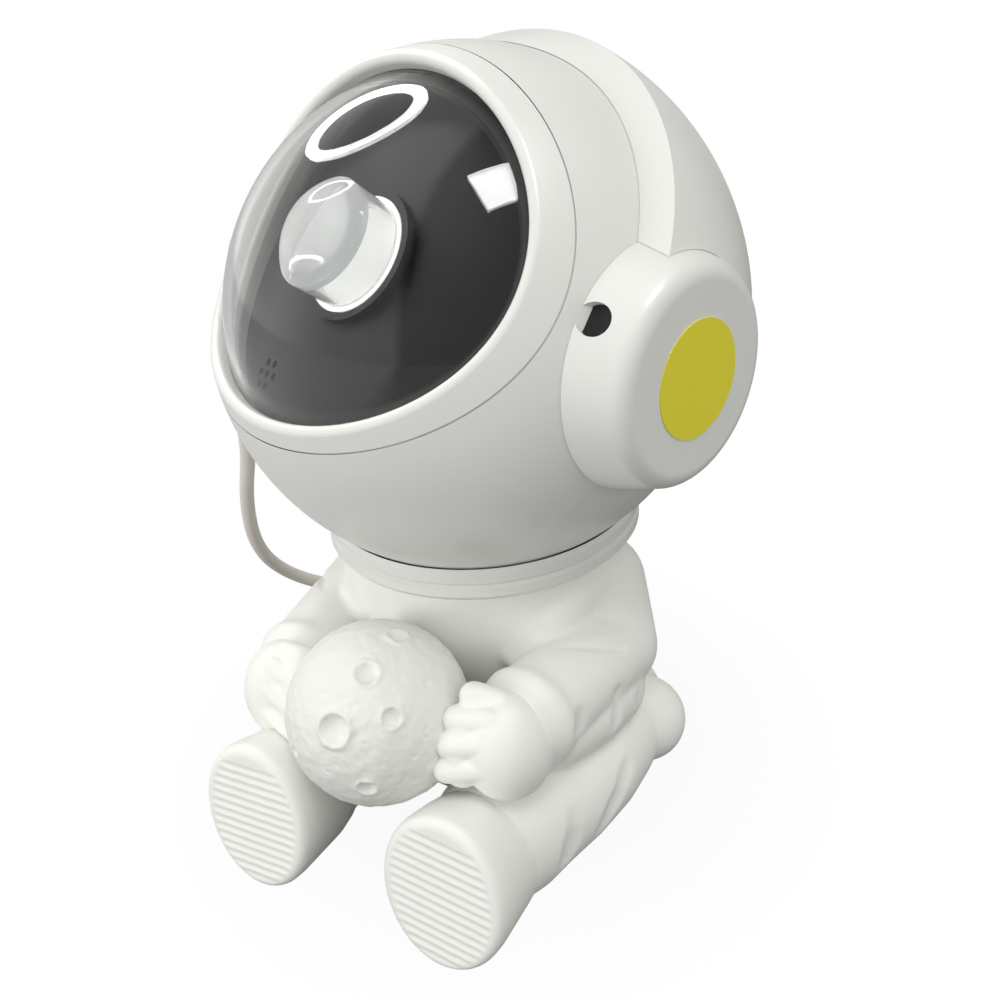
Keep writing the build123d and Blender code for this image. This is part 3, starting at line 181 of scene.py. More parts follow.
def loft(rings, name, turn=(0.0, 0.0, 0.0), sides=72):
    """A skin through ovals: each ring is height, centre x and y, half width and half depth."""
    bpy.ops.mesh.primitive_circle_add(vertices=sides, radius=1.0, fill_type="NGON", location=(0, 0, 0))
    obj = bpy.context.object
    z, x, y, wide, deep = rings[0]
    obj.location = mm((x, y, z))
    obj.scale = (wide * MM, deep * MM, 1.0)
    settle(obj, name)
    bpy.ops.object.mode_set(mode="EDIT")
    bpy.ops.mesh.select_all(action="SELECT")
    for ring in rings[1:]:
        step = mm((ring[1] - x, ring[2] - y, ring[0] - z))
        bpy.ops.mesh.extrude_region_move(TRANSFORM_OT_translate={"value": step})
        scale = (ring[3] / wide, ring[4] / deep, 1.0)
        bpy.ops.transform.resize(value=scale, center_override=mm((ring[1], ring[2], ring[0])))
        z, x, y, wide, deep = ring
    bpy.ops.mesh.select_all(action="SELECT")
    bpy.ops.mesh.normals_make_consistent(inside=False)
    bpy.ops.object.mode_set(mode="OBJECT")
    obj.rotation_euler = turn
    return settle(obj, name)


# ---------------------------------------------------------------- materials
WHITE = (1.0, 1.0, 1.0, 1.0)
DRIFT_SIZE = 18.0     # patches in which a moulded colour drifts
DRIFT_SPREAD = 3      # the noise fills a third of its range, so its two colours lie this much further apart
DULLER = 0.07         # the most that the grain adds to the roughness and takes from it
GLOSSIER = 0.05
COAT_ROUGH = 0.12
PLASTIC_IOR = 1.49
WAVE_SIZE = 14.0      # faint waves in a clear plastic's face, and their height
WAVE_DEEP = 0.01

# Clear plastics: colour, index of refraction and milkiness
CLEAR = {
    # Dome and effect discs: clean and faintly grey, with sharp reflections
    "polycarbonate_clear_polished": ("#F2F3F3", 1.45, 0.0),
    # Lenses: slightly milky, so that they catch the room's light
    "acrylic_lens_clear_polished": ("#FFFFFF", 1.49, 0.2),
}
# All other finishes: colour or the setting that holds it, roughness, size and height of the grain, how far
# the colour drifts, and what the finish has besides
MOULDED = {
    # Helmet: satin plastic with soft highlights and a very fine grain
    "abs_white_satin_moulded": ("helmet_colour", 0.36, 0.5, 0.004, 0.008, {"coat": 0.12}),
    # Figure: soft vinyl, duller and a shade lighter than the helmet
    "vinyl_white_soft_moulded": ("figure_colour", 0.50, 0.7, 0.010, 0.010, {}),
    # Moon: the figure's vinyl, dull and gritty like stone
    "vinyl_moon_stone_grain": ("moon_colour", 0.62, 1.1, 0.07, 0.02, {}),
    # Mask: black plastic, glossy enough to pick up a grey sheen
    "polycarbonate_black_gloss_moulded": ("#0C0D0E", 0.44, 6.0, 0.001, 0.02, {}),
    # Reflector behind the lens: pale, with a painted glow, an emission on a part that is no lamp, standing in
    # for the room's light that it gathers
    "aluminium_reflector_vacuum_coated": ("#EDEDEA", 0.5, 0.8, 0.003, 0.01, {"metal": 0.2, "glow": 0.5}),
    # Round notice: lemon-yellow film with a slight shine
    "vinyl_label_yellow_printed": ("notice_colour", 0.38, 0.6, 0.004, 0.015, {"coat": 0.2}),
    # Lead: matt, warm white plastic with a cloth-like grain
    "pvc_lead_jacket_extruded": ("lead_colour", 0.58, 0.6, 0.05, 0.02, {}),
    # Foot pad: dull grey rubber with hardly a highlight
    "silicone_grey_moulded": ("#B9BAB7", 0.7, 0.6, 0.02, 0.02, {}),
    # Plug shell and motors: bright metal with clear reflections
    "steel_nickel_plated": ("#BFC1C2", 0.24, 0.7, 0.003, 0.02, {"metal": 1.0}),
    # Screws, plate, shafts and ballast: greyer metal with a blurred, cut face
    "steel_cut_zinc_plated": ("#A9ABAC", 0.38, 1.2, 0.006, 0.03, {"metal": 1.0}),
    # Heatsink: pale metal with a silky sheen
    "aluminium_extruded_anodised": ("#C3C5C7", 0.34, 0.9, 0.005, 0.02, {"metal": 1.0}),
    # Laser module: warm golden metal, nearly polished
    "brass_turned": ("#C2A15A", 0.28, 0.6, 0.004, 0.02, {"metal": 1.0}),
    # Circuit boards: deep green under a thin gloss
    "glass_fibre_board_green_mask": ("#2C6B46", 0.4, 0.8, 0.006, 0.03, {"coat": 0.3}),
    # Lamp chips: pale yellow under a glossy drop
    "lamp_phosphor_cast": ("#E9DC8C", 0.4, 0.4, 0.004, 0.02, {"coat": 0.4}),
    # Remote window: glossy, nearly black, with a hint of red
    "polycarbonate_smoke_window": ("#2A1418", 0.14, 0.9, 0.002, 0.02, {"coat": 0.4}),
    # Buttons and plug grip: light grey satin, darker than the helmet
    "abs_button_grey_satin_moulded": ("#C9CCCB", 0.42, 0.5, 0.006, 0.01, {}),
    # Chassis and retainer ring: dark grey plastic with a soft sheen
    "abs_dark_grey_moulded": ("#3A3D40", 0.45, 0.6, 0.01, 0.02, {}),
    # Magnet: the shiniest of the metals
    "neodymium_magnet_nickel_plated": ("#B5B8BB", 0.2, 0.8, 0.003, 0.02, {"metal": 1.0}),
}


def colour(code):
    """An sRGB hex colour as linear light; a colour of the add-on's settings is linear already."""
    if not isinstance(code, str):
        return (*code, 1.0)
    parts = [int(code[i:i + 2], 16) / 255 for i in (1, 3, 5)]
    linear = [p / 12.92 if p <= 0.04045 else ((p + 0.055) / 1.055) ** 2.4 for p in parts]
    return (*linear, 1.0)


def add(tree, kind, values=None, links=None, **settings):
    """Adds a shader node with its settings, its socket values and its links."""
    made = tree.nodes.new(kind)
    for key, value in settings.items():
        setattr(made, key, value)
    for key, value in (values or {}).items():
        made.inputs[key].default_value = value
    for key, socket in (links or {}).items():
        tree.links.new(socket, made.inputs[key])
    return made


def noise(tree, where, size, detail):
    """Noise in patches of this size."""
    made = add(tree, "ShaderNodeTexNoise", {"Scale": 1 / (size * MM), "Detail": detail}, {"Vector": where})
    return made.outputs["Fac"]


def ramp(tree, value, start, end):
    """A value turned into another; start and end are each a value that comes in and what it becomes."""
    made = add(tree, "ShaderNodeMapRange",
               {"From Min": start[0], "From Max": end[0], "To Min": start[1], "To Max": end[1]},
               {"Value": value})
    return made.outputs["Result"]


def work_out(tree, operation, *values):
    """The result of a maths node from several values."""
    return add(tree, "ShaderNodeMath", {}, dict(enumerate(values)), operation=operation).outputs["Value"]


def mixed(tree, share, first, second):
    """Two shaders mixed: only the first at share 0, only the second at 1."""
    return add(tree, "ShaderNodeMixShader", {}, {0: share, 1: first, 2: second}).outputs["Shader"]


def blank(name):
    """An empty node material and its output."""
    made = bpy.data.materials.new(name)
    made.use_nodes = True
    made.node_tree.nodes.clear()
    return made, made.node_tree, add(made.node_tree, "ShaderNodeOutputMaterial")


def moulded(name, code, rough, grain, deep, cloud, coat=0.0, metal=0.0, glow=0.0):
    """A solid finish: a colour that drifts a little, uneven gloss, a fine grain and, where asked, a painted
    glow.

    grain is the size of the grain and deep its height; cloud is how far the colour drifts."""
    made, tree, out = blank(name)
    where = add(tree, "ShaderNodeTexCoord").outputs["Object"]
    drift = noise(tree, where, DRIFT_SIZE, 3.0)
    base = colour(code)
    darker = tuple(c * (1 - DRIFT_SPREAD * cloud) for c in base[:3]) + (1.0,)
    tint = add(tree, "ShaderNodeMix", {"A": darker, "B": base}, {"Factor": drift}, data_type="RGBA")
    fine = noise(tree, where, grain, 4.0)
    gloss = ramp(tree, fine, (0.0, rough - GLOSSIER), (1.0, rough + DULLER))
    bump = add(tree, "ShaderNodeBump", {"Strength": 1.0, "Distance": deep * MM}, {"Height": fine})
    shader = add(tree, "ShaderNodeBsdfPrincipled",
                 {"Metallic": metal, "Coat Weight": coat, "Coat Roughness": COAT_ROUGH, "IOR": PLASTIC_IOR},
                 {"Base Color": tint.outputs["Result"], "Roughness": gloss, "Normal": bump.outputs["Normal"]})
    # Painted glow: an emission on a part that is no lamp, standing in for the light that falls on it
    if glow:
        shader.inputs["Emission Color"].default_value = base
        shader.inputs["Emission Strength"].default_value = glow
    tree.links.new(shader.outputs["BSDF"], out.inputs["Surface"])
    return made


def clear(name, code, ior, milk):
    """A clear plastic that lets direct light through to what is behind it; milk clouds it."""
    made, tree, out = blank(name)
    where = add(tree, "ShaderNodeTexCoord").outputs["Object"]
    wave = noise(tree, where, WAVE_SIZE, 1.0)
    bump = add(tree, "ShaderNodeBump", {"Strength": 1.0, "Distance": WAVE_DEEP * MM}, {"Height": wave})
    shader = add(tree, "ShaderNodeBsdfPrincipled",
                 {"Base Color": colour(code), "Roughness": 0.0, "IOR": ior,
                  "Transmission Weight": 1.0 - milk},
                 {"Normal": bump.outputs["Normal"]})
    through = add(tree, "ShaderNodeBsdfTransparent", {"Color": colour(code)})
    path = add(tree, "ShaderNodeLightPath")
    mix = mixed(tree, path.outputs["Is Shadow Ray"], shader.outputs["BSDF"], through.outputs["BSDF"])
    tree.links.new(mix, out.inputs["Surface"])
    return made


FINISHES = {}


def finish(name):
    """Each finish is made once, when a piece first asks for it."""
    if name not in FINISHES:
        if name in CLEAR:
            FINISHES[name] = clear(name, *CLEAR[name])
        else:
            code, *numbers, extras = MOULDED[name]
            if not code.startswith("#"):
                code = getattr(bpy.context.scene.projector, code)
            FINISHES[name] = moulded(name, code, *numbers, **extras)
    return FINISHES[name]


def paint(obj, name):
    """Gives a new piece its finish."""
    obj.data.materials.clear()
    obj.data.materials.append(finish(name))


# What each CAD node is made of; those that a piece replaces are hidden
NODE_FINISH = {
    "abs_white_satin_moulded": ("helmet_front_shell", "helmet_rear_shell", "helmet_hood", "visor_bezel",
                                "ear_cup_left", "ear_cup_right", "neck_collar", "swivel_seat", "base_cover"),
    "vinyl_white_soft_moulded": ("trunk_front_shell", "trunk_rear_shell", "arm_left", "arm_right",
                                 "hand_left", "hand_right", "leg_left", "leg_right", "boot_left",
                                 "boot_right"),
    "vinyl_moon_stone_grain": ("moon_ball",),
    "polycarbonate_clear_polished": ("visor_dome", "ripple_disc", "grating_disc"),
    "acrylic_lens_clear_polished": ("projection_lens", "condenser_lens"),
    "polycarbonate_black_gloss_moulded": ("inner_mask", "lens_barrel"),
    "aluminium_reflector_vacuum_coated": ("reflector_cone",),
    "vinyl_label_yellow_printed": ("blank_notice_disc",),
    "pvc_lead_jacket_extruded": ("cord_strain_relief", "lead_upper", "lead_lower", "lead_on_table",
                                 "lead_coil", "lead_tail"),
    "abs_dark_grey_moulded": ("optics_chassis", "seat_retainer"),
    "silicone_grey_moulded": ("foot_pad",),
    "steel_nickel_plated": ("plug_shell", "nebula_motor", "star_motor"),
    "steel_cut_zinc_plated": ("head_seat_plate", "board_screws", "chassis_screws", "retainer_screws",
                              "base_ballast", "nebula_motor_shaft", "star_motor_shaft"),
    "aluminium_extruded_anodised": ("led_heatsink",),
    "brass_turned": ("laser_module",),
    "glass_fibre_board_green_mask": ("main_board", "button_board", "led_board"),
    "lamp_phosphor_cast": ("led_chips",),
    "polycarbonate_smoke_window": ("ir_window",),
    "abs_button_grey_satin_moulded": ("button_left", "button_middle", "button_right", "plug_grip"),
    "neodymium_magnet_nickel_plated": ("neck_magnet",),
}


def dress_nodes():
    """Puts the finishes on the CAD nodes."""
    for name, nodes in NODE_FINISH.items():
        for node in nodes:
            obj = NODES[node]
            if not obj.material_slots:
                obj.data.materials.append(finish(name))
            for place in obj.material_slots:
                place.material = finish(name)


# ---------------------------------------------------------------- stage
# The camera's place and its own axes
CAMERA_AT = (118.67, -191.53, 197.18)
CAMERA_RIGHT = (0.87646, 0.47669, -0.06771)
CAMERA_UP = (-0.17639, 0.44875, 0.87608)
CAMERA_BACK = (0.448, -0.7559, 0.4774)
LENS = 35.18          # on a sensor 36 wide
# A ring lamp and a window, placed so that the dome mirrors them: its centre and two half axes, and corners
RING_AT = (-326.0, 145.0, 514.0)
RING_LONG = (70.0, 124.0, -8.0)
RING_WIDE = (47.0, -110.0, 102.0)
WINDOW = ((102.0, -91.0, 654.0), (180.0, 57.0, 635.0), (280.0, -57.0, 593.0), (228.0, -167.0, 597.0))
RING_THICK = 0.11     # share of the ring's radius
RING_GLOW = 14.0
WINDOW_GLOW = 17.0
# Lamps: name, place and aim in metres, width in metres, and the setting that holds the power
LAMPS = (("key", (-0.75, -1.1, 0.32), (0, 0, 0.07), 0.6, "key_light"),
         ("top", (0.3, -0.4, 1.2), (0, 0, 0.08), 0.5, "top_light"),
         ("fill", (1.2, -0.35, 0.35), (0, 0, 0.08), 0.7, "fill_light"))
ROOM_COLOUR = "#F6F6F2"
# Walls that the dome mirrors, by direction from the figure's right to its left: a pale one that gets duller
# and ends in the middle, where a dark one begins
WALL_FADE = ((-1.0, 1.1), (-0.6, 0.5))
WALL_EDGE = ((-0.04, 1.0), (0.04, 0.05))
FLOOR_SIZE = 6.0      # metres
FIBRE_SIZE = 5.0      # of the paper on the floor, and the greys between which it varies
FIBRE_GREY = ((0.0, 0.14), (1.0, 0.16))
# The floor's whiteness by distance in metres, and what the dome mirrors of it from right to left
FLOOR_WHITE = ((0.04, 0.94), (0.1, 1.0))
FLOOR_MIRRORED = ((-0.12, 0.55), (0.0, 0.0))


def make_camera():
    """The camera that looks at the projector."""
    data = bpy.data.cameras.new("camera")
    data.lens = LENS
    data.sensor_width = 36.0
    data.clip_start = 0.01
    data.clip_end = 20.0
    camera = bpy.data.objects.new("camera", data)
    bpy.context.scene.collection.objects.link(camera)
    turn = Matrix((CAMERA_RIGHT, CAMERA_UP, CAMERA_BACK)).transposed().to_4x4()
    camera.matrix_world = Matrix.Translation(mm(CAMERA_AT)) @ turn
    bpy.context.scene.camera = camera


def area_lamp(name, place, aim, size, power):
    """A soft round lamp that lights the pieces but doesn't show in the dome."""
    data = bpy.data.lights.new(name, "AREA")
    data.shape = "DISK"
    data.size = size
    data.energy = power
    lamp = bpy.data.objects.new(name, data)
    bpy.context.scene.collection.objects.link(lamp)
    lamp.location = place
    lamp.visible_glossy = False
    lamp.visible_transmission = False
    lamp.rotation_euler = (Vector(aim) - Vector(place)).to_track_quat("-Z", "Y").to_euler()


def glowing(name, strength):
    """A plain white glow for the lamps that the dome mirrors."""
    made, tree, out = blank(name)
    shader = add(tree, "ShaderNodeEmission", {"Strength": strength, "Color": WHITE})
    tree.links.new(shader.outputs["Emission"], out.inputs["Surface"])
    return made


def only_mirrored(obj):
    """Lets a lamp show in the dome and other glossy faces without lighting the rest."""
    obj.visible_camera = False
    obj.visible_diffuse = False
    obj.visible_shadow = False


def make_room(props):
    """The even light of the room, the walls that the dome mirrors, and the white that the camera sees."""
    world = bpy.data.worlds.new("studio")
    bpy.context.scene.world = world
    world.use_nodes = True
    tree = world.node_tree
    tree.nodes.clear()
    out = add(tree, "ShaderNodeOutputWorld")
    path = add(tree, "ShaderNodeLightPath")
    where = add(tree, "ShaderNodeTexCoord").outputs["Generated"]
    across = add(tree, "ShaderNodeSeparateXYZ", {}, {"Vector": where}).outputs["X"]
    mirrored = work_out(tree, "MULTIPLY", ramp(tree, across, *WALL_FADE), ramp(tree, across, *WALL_EDGE))
    through = work_out(tree, "MAXIMUM", path.outputs["Is Glossy Ray"], path.outputs["Is Transmission Ray"])
    strength = add(tree, "ShaderNodeMix", {"A": props.room_light}, {"Factor": through, "B": mirrored})
    room = add(tree, "ShaderNodeBackground", {"Color": colour(ROOM_COLOUR)},
               {"Strength": strength.outputs["Result"]})
    paper = add(tree, "ShaderNodeBackground", {"Color": WHITE, "Strength": 1.0})
    mix = mixed(tree, path.outputs["Is Camera Ray"], room.outputs["Background"], paper.outputs["Background"])
    tree.links.new(mix, out.inputs["Surface"])


def make_floor():
    """Paper that is white to the camera, with a trace of shadow near the figure, and grey to the rest."""
    bpy.ops.mesh.primitive_plane_add(size=FLOOR_SIZE, location=(0, 0, 0))
    floor = bpy.context.object
    floor.name = "stage_floor"
    made, tree, out = blank("stage_paper_white")
    path = add(tree, "ShaderNodeLightPath")
    where = add(tree, "ShaderNodeTexCoord").outputs["Object"]
    grey = ramp(tree, noise(tree, where, FIBRE_SIZE, 3.0), *FIBRE_GREY)
    matt = add(tree, "ShaderNodeBsdfDiffuse", {}, {"Color": grey})
    white = add(tree, "ShaderNodeEmission", {"Strength": 1.0, "Color": WHITE})
    away = add(tree, "ShaderNodeVectorMath", {}, {0: where}, operation="LENGTH").outputs["Value"]
    across = add(tree, "ShaderNodeSeparateXYZ", {}, {"Vector": where}).outputs["X"]
    in_dome = work_out(tree, "MULTIPLY", path.outputs["Is Glossy Ray"], ramp(tree, across, *FLOOR_MIRRORED))
    shine = ramp(tree, away, *FLOOR_WHITE)
    seen = work_out(tree, "MULTIPLY_ADD", path.outputs["Is Camera Ray"], shine, in_dome)
    mix = mixed(tree, seen, matt.outputs["BSDF"], white.outputs["Emission"])
    tree.links.new(mix, out.inputs["Surface"])
    floor.data.materials.append(made)


def make_lamps(props):
    """Three soft lamps, and the ring lamp and the window that only show in glossy faces."""
    for name, place, aim, size, power in LAMPS:
        area_lamp(name, place, aim, size, getattr(props, power))
    long, wide = mm(RING_LONG), mm(RING_WIDE)
    bpy.ops.mesh.primitive_torus_add(
        major_segments=96, minor_segments=12, major_radius=1.0, minor_radius=RING_THICK)
    ring = bpy.context.object
    ring.name = "stage_ring_lamp"
    normal = long.cross(wide).normalized()
    ring.matrix_world = Matrix.Translation(mm(RING_AT)) @ Matrix(
        (long, wide, normal * long.length)).transposed().to_4x4()
    ring.data.materials.append(glowing("stage_ring_glow", RING_GLOW))
    only_mirrored(ring)
    bpy.ops.mesh.primitive_plane_add(size=1.0)
    window = bpy.context.object
    window.name = "stage_window"
    for vertex, corner in zip((0, 1, 3, 2), WINDOW):
        window.data.vertices[vertex].co = mm(corner)
    window.data.materials.append(glowing("stage_window_glow", WINDOW_GLOW))
    only_mirrored(window)


def make_stage(props):
    """The room, the floor and the lamps."""
    bpy.context.scene.view_settings.view_transform = "Standard"
    make_room(props)
    make_floor()
    make_lamps(props)


# ---------------------------------------------------------------- lead
# The lead's line from the right ear cup down to its plug
LEAD_UPPER = ((-66.75, -6.94, 127.41), (-72.0, -8.53, 111.32), (-78.0, -1.5, 80.0), (-82.75, -0.25, 68.75))
LEAD_LOWER = ((-82.75, -0.25, 68.75), (-87.5, 1.0, 57.5), (-95.0, 8.0, 34.5), (-97.0, 20.0, 17.0),
              (-88.0, 32.0, 6.0), (-73.0, 44.5, 2.35), (-60.0, 52.4, 2.35))
COIL_AT = (-40.0, 84.0)
COIL_OUTER = 31.3     # centre line of the outer turn
COIL_INNER = 18.7
COIL_TURNS = 4        # in each of two layers
COIL_POINTS = 14      # to a turn
COIL_HIGH = (0.54, 1.5)   # middle of each layer above the table, in thicknesses of the lead
LEAD_TAIL = ((-49.0, 115.6, 2.4), (-66.6, 116.4, 2.7), (-88.6, 119.8, 4.1))


def coil_points(thick):
    """The coil of a lead this thick: inwards on the table, outwards on top of it, then off its back."""
    points = []
    steps = COIL_TURNS * COIL_POINTS
    for layer in range(2):
        for i in range(steps + (COIL_POINTS // 2 if layer else 0)):
            share = min(i / steps, 1.0)
            inwards = COIL_OUTER + (COIL_INNER - COIL_OUTER) * share
            radius = inwards if layer == 0 else COIL_INNER + COIL_OUTER - inwards
            angle = -pi / 2 + 2 * pi * i / COIL_POINTS
            x = COIL_AT[0] + radius * cos(angle)
            y = COIL_AT[1] + radius * sin(angle)
            points.append((x, y, thick * COIL_HIGH[layer]))
    return points


def route(points, name):
    """A smooth line with these control points."""
    curve = bpy.data.curves.new(name, "CURVE")
    curve.dimensions = "3D"
    curve.resolution_u = 8
    spline = curve.splines.new("NURBS")
    spline.points.add(len(points) - 1)
    for place, point in zip(spline.points, points):
        place.co = (*mm(point), 1.0)
    spline.order_u = 3
    spline.use_endpoint_u = True
    obj = bpy.data.objects.new(name, curve)
    bpy.context.scene.collection.objects.link(obj)
    return obj


def jacket(obj, thick):
    """Makes the route a round tube, and gives the points that it follows and its length, in metres."""
    line = bpy.data.meshes.new_from_object(obj.evaluated_get(bpy.context.evaluated_depsgraph_get()))
    path = [v.co.copy() for v in line.vertices]
    bpy.data.meshes.remove(line)
    obj.data.bevel_depth = thick / 2
    obj.data.bevel_resolution = 6
    obj.data.use_fill_caps = True
    take(obj)
    bpy.ops.object.convert(target="MESH")
    smooth(obj, angle=60)
    paint(obj, "pvc_lead_jacket_extruded")
    long = sum((b - a).length for a, b in zip(path, path[1:]))
    return path, long


def make_lead(thick):
    """The lead in two pieces, which meet beside the neck; thick is in metres."""
    upper = route(LEAD_UPPER, "lead_from_helmet")
    path, long = jacket(upper, thick)
    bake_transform(upper)
    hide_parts("lead_upper")
    lower = route(LEAD_LOWER + tuple(coil_points(thick / MM)) + LEAD_TAIL, "lead_to_plug")
    path, long = jacket(lower, thick)
    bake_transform(lower)
    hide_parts("lead_lower", "lead_on_table", "lead_coil", "lead_tail")


# ---------------------------------------------------------------- ear cup
EAR_HOLE_OUT = 57.0   # the hole's axis from the helmet's centre plane
EAR_HOLE_R = 3.3
EAR_HOLE_GAP = 0.05   # between the black rod of painted shade and the hole's wall
EAR_HOLE_DEEP = 20.0  # where the rod of painted shade ends, and where its face lies, ahead of the ear's axis
EAR_HOLE_FACE = 24.0


def make_ear_hole_shade():
    """Painted shade: a black rod in the hole in the left ear cup, standing in for the shade inside it."""
    axis = HEAD + EAR * EAR_HOLE_OUT
    shade_rod_r = EAR_HOLE_R - EAR_HOLE_GAP
    shade_rod = rod(axis + FORWARD * EAR_HOLE_DEEP, axis + FORWARD * EAR_HOLE_FACE, shade_rod_r, shade_rod_r)
    shade_rod.name = "ear_hole_liner"
    smooth(shade_rod, angle=40)
    # The mask's black plastic, used here as painted shade that fills the hole's dark inside
    paint(shade_rod, "polycarbonate_black_gloss_moulded")
    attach(shade_rod, "head")


# ---------------------------------------------------------------- figure
SHOULDER = (30.0, 3.0, 56.0)
ELBOW = (37.5, -5.0, 43.5)
WRIST = (32.5, -44.0, 47.0)
SLEEVE_RADII = (13.0, 12.0, 11.4)
CUFF = ((-6.0, 11.4), (-2.2, 12.7), (0.8, 11.8))   # distance past the wrist, and radius
RIGHT_DROP = 5.0      # the right hand holds the moon lower
NECK_GAP = 1.2        # between the helmet and the bowl of the neck that it turns in
SUIT_UNDER = 0.5      # height of the suit's flat underside, and of the boots'
BOOT_UNDER = 0.4
MOON_AT = (0.0, -54.4, 47.0)
MOON_GAP = 0.05       # between the moon's ball and the hands
# Size of the cells that each skin is made of
SUIT_CELL = 0.7
HOLLOW_CELL = 0.5
HAND_CELL = 0.42
MOON_CELL = 0.42
BOOT_CELL = 0.45
GROOVE_CELL = 0.35
RIBBED_CELL = 0.4
# Trunk ovals: height, centre x and y, half width and half depth
TRUNK_RINGS = ((-6.0, 0, 2.8, 38.0, 31.0), (1.0, 0, 2.8, 40.5, 33.0), (11.0, 0, 2.8, 42.5, 35.2),
               (22.0, 0, 2.8, 41.5, 35.4), (32.0, 0, 2.8, 40.3, 35.2), (45.0, 0, 1.8, 39.0, 35.8),
               (56.0, 0, 1.0, 37.6, 35.6), (66.0, 0, 0.4, 35.4, 34.8), (71.5, 0, 0.0, 33.8, 33.8))
# Leg ovals: distance forward, centre across and up, half width and half height
LEG_RINGS = ((-20.0, 31.0, 11.4, 11.0, 11.4), (-2.0, 33.8, 14.6, 16.2, 14.8), (10.0, 33.8, 15.8, 17.6, 16.2),
             (22.0, 33.2, 16.8, 18.2, 17.2), (34.0, 31.6, 16.8, 17.6, 17.2), (44.0, 29.4, 16.8, 16.8, 17.2),
             (52.0, 28.2, 17.0, 16.0, 17.6), (58.0, 27.2, 17.2, 14.4, 16.8))
HIP_LOBE = (43.2, 3.0, 14.6)
HIP_LOBE_R = 11.6
# Soft ridges of the cloth: points, then radii
LAPEL = (((33.0, -3.0, 62.0), (31.6, -11.0, 60.4), (29.2, -17.6, 58.0), (26.4, -22.6, 55.4),
          (21.6, -26.6, 51.0)), (5.4, 5.2, 5.0, 4.8, 4.0))
SLEEVE_SAG = (((38.4, -12.0, 35.4), (38.0, -24.0, 36.8), (35.6, -36.0, 39.2)), (10.6, 9.8, 9.2))
# Hollows pressed into the cloth, each a rounded cutter that dips a little below the surface
HOLLOWS = ((((48.7, -38.4, 50.5), (48.8, -39.6, 45.0)), (5.0, 5.0)),
           (((51.4, -23.4, 44.0), (52.0, -26.0, 36.6)), (5.2, 5.2)),
           (((53.1, -12.6, 41.5), (53.4, -14.6, 34.0)), (5.0, 5.0)),
           (((33.5, -28.4, 58.2), (38.4, -24.8, 57.4), (42.8, -19.9, 54.8), (45.6, -15.0, 51.6)),
            (1.2, 1.6, 1.6, 1.0)))
TROUSER_HOLLOWS = ((((55.0, -23.0, 27.0), (55.8, -29.4, 20.6), (54.8, -34.6, 15.6), (52.4, -39.6, 9.4)),
                    (6.4, 6.8, 6.8, 6.0)),
                   (((48.8, -44.0, 31.0), (50.9, -47.0, 21.6), (49.4, -50.0, 12.0)), (6.0, 6.4, 6.0)))
CUFF_DIMPLES = ((41.2, -45.2, 51.4), (42.4, -44.4, 46.6))
CUFF_DIMPLE_R = 1.5
PALM_EGG = ((32.0, -50.0, 45.2), (10.5, 11.5, 13.2))
PALM_ROOT = (9.4, 10.2)   # radii from the wrist to the palm's middle
PALM_EDGE = (((26.2, -50.2, 55.0), (24.6, -54.6, 51.0), (24.2, -57.0, 46.0), (24.4, -57.6, 42.0)),
             (4.4, 4.6, 4.7, 4.6))
FINGERS = (((30.4, -49.6, 56.4), (24.6, -50.8, 57.0)), ((31.0, -54.2, 54.8), (22.5, -55.2, 53.1)),
           ((32.0, -57.0, 51.0), (22.1, -58.4, 48.3)), ((32.2, -58.4, 46.0), (21.7, -60.0, 42.5)))
FINGER_R = 3.3
FINGER_TAPER = 0.3    # a finger is this much thinner at its knuckle
# Craters: bearing from the front towards the figure's left and height on the ball, in degrees, and radius
CRATERS = ((9, 29, 3.9), (34, 62, 3.0), (49, 34, 2.5), (27, -9, 2.4), (128, 71, 2.7), (-25, 1, 1.4),
           (-39, 36, 1.2), (86, 42, 1.3), (-10, 57, 0.8), (-7, 47, 0.8), (15, 41, 0.8), (29, 22, 0.8),
           (69, 20, 0.9), (67, 15, 0.7), (57, 7, 0.9), (4, 1, 0.8), (10, 7, 0.7), (48, 76, 0.7),
           (60, 37, 0.7), (-70, 10, 2.4), (-60, -30, 2.0), (110, 10, 2.2))
# A crater's raised rim is a ring and its hollow a ball, as shares of the crater's radius
RIM_R = 0.86
RIM_THICK = 0.26
RIM_LEAST = 0.12      # thickness in millimetres that every rim has besides
RIM_SUNK = 0.45       # share of its thickness by which a rim lies in the ball
CRATER_R = 0.95
CRATER_OUT = 0.42     # how far the hollow's centre lies outside the ball
STONE_SIZE = 2.6      # of the pits in the moon's skin, and the most from a pit to a bump
STONE_DEEP = 0.5
SOLE_AT = (26.6, -75.6, 20.2)
SOLE_LEAN = 10.3      # degrees that the sole faces upwards
SOLE_BEVEL = 2.4
# Boot ovals from the ankle to the sole: distance from the sole, centre across and up, half width, half height
BOOT_RINGS = ((-24.0, 0.4, -1.4, 13.4, 15.6), (-19.0, 0.2, -1.2, 14.6, 17.4), (-12.0, 0.0, -0.6, 15.4, 18.6),
              (-5.0, 0.0, -0.2, 15.9, 19.6), (0.0, 0.0, 0.0, 15.6, 19.9))
# The grooves between the sole's ribs, each cut by a rod
GROOVES = 14
GROOVE_PITCH = 2.35
GROOVE_R = 1.1
GROOVE_DEEP = 0.36
GROOVE_TILT = -4.0    # degrees, mirrored between the boots
GROOVE_REACH = 12.4   # half the length of the longest
GROOVE_FADE = 19.0    # distance from the sole's middle at which their length would be nothing
GROOVES_LOW = 1.4     # how far the middle of them all lies below the sole's


def sided(points, sign):
    """Points on the figure's left (1) or right (-1), the right ones as the left ones mirrored."""
    return [(sign * x, y, z) for x, y, z in points]


def dropped(points, drop):
    """Points lowered by this much."""
    return [(x, y, z - drop) for x, y, z in points]


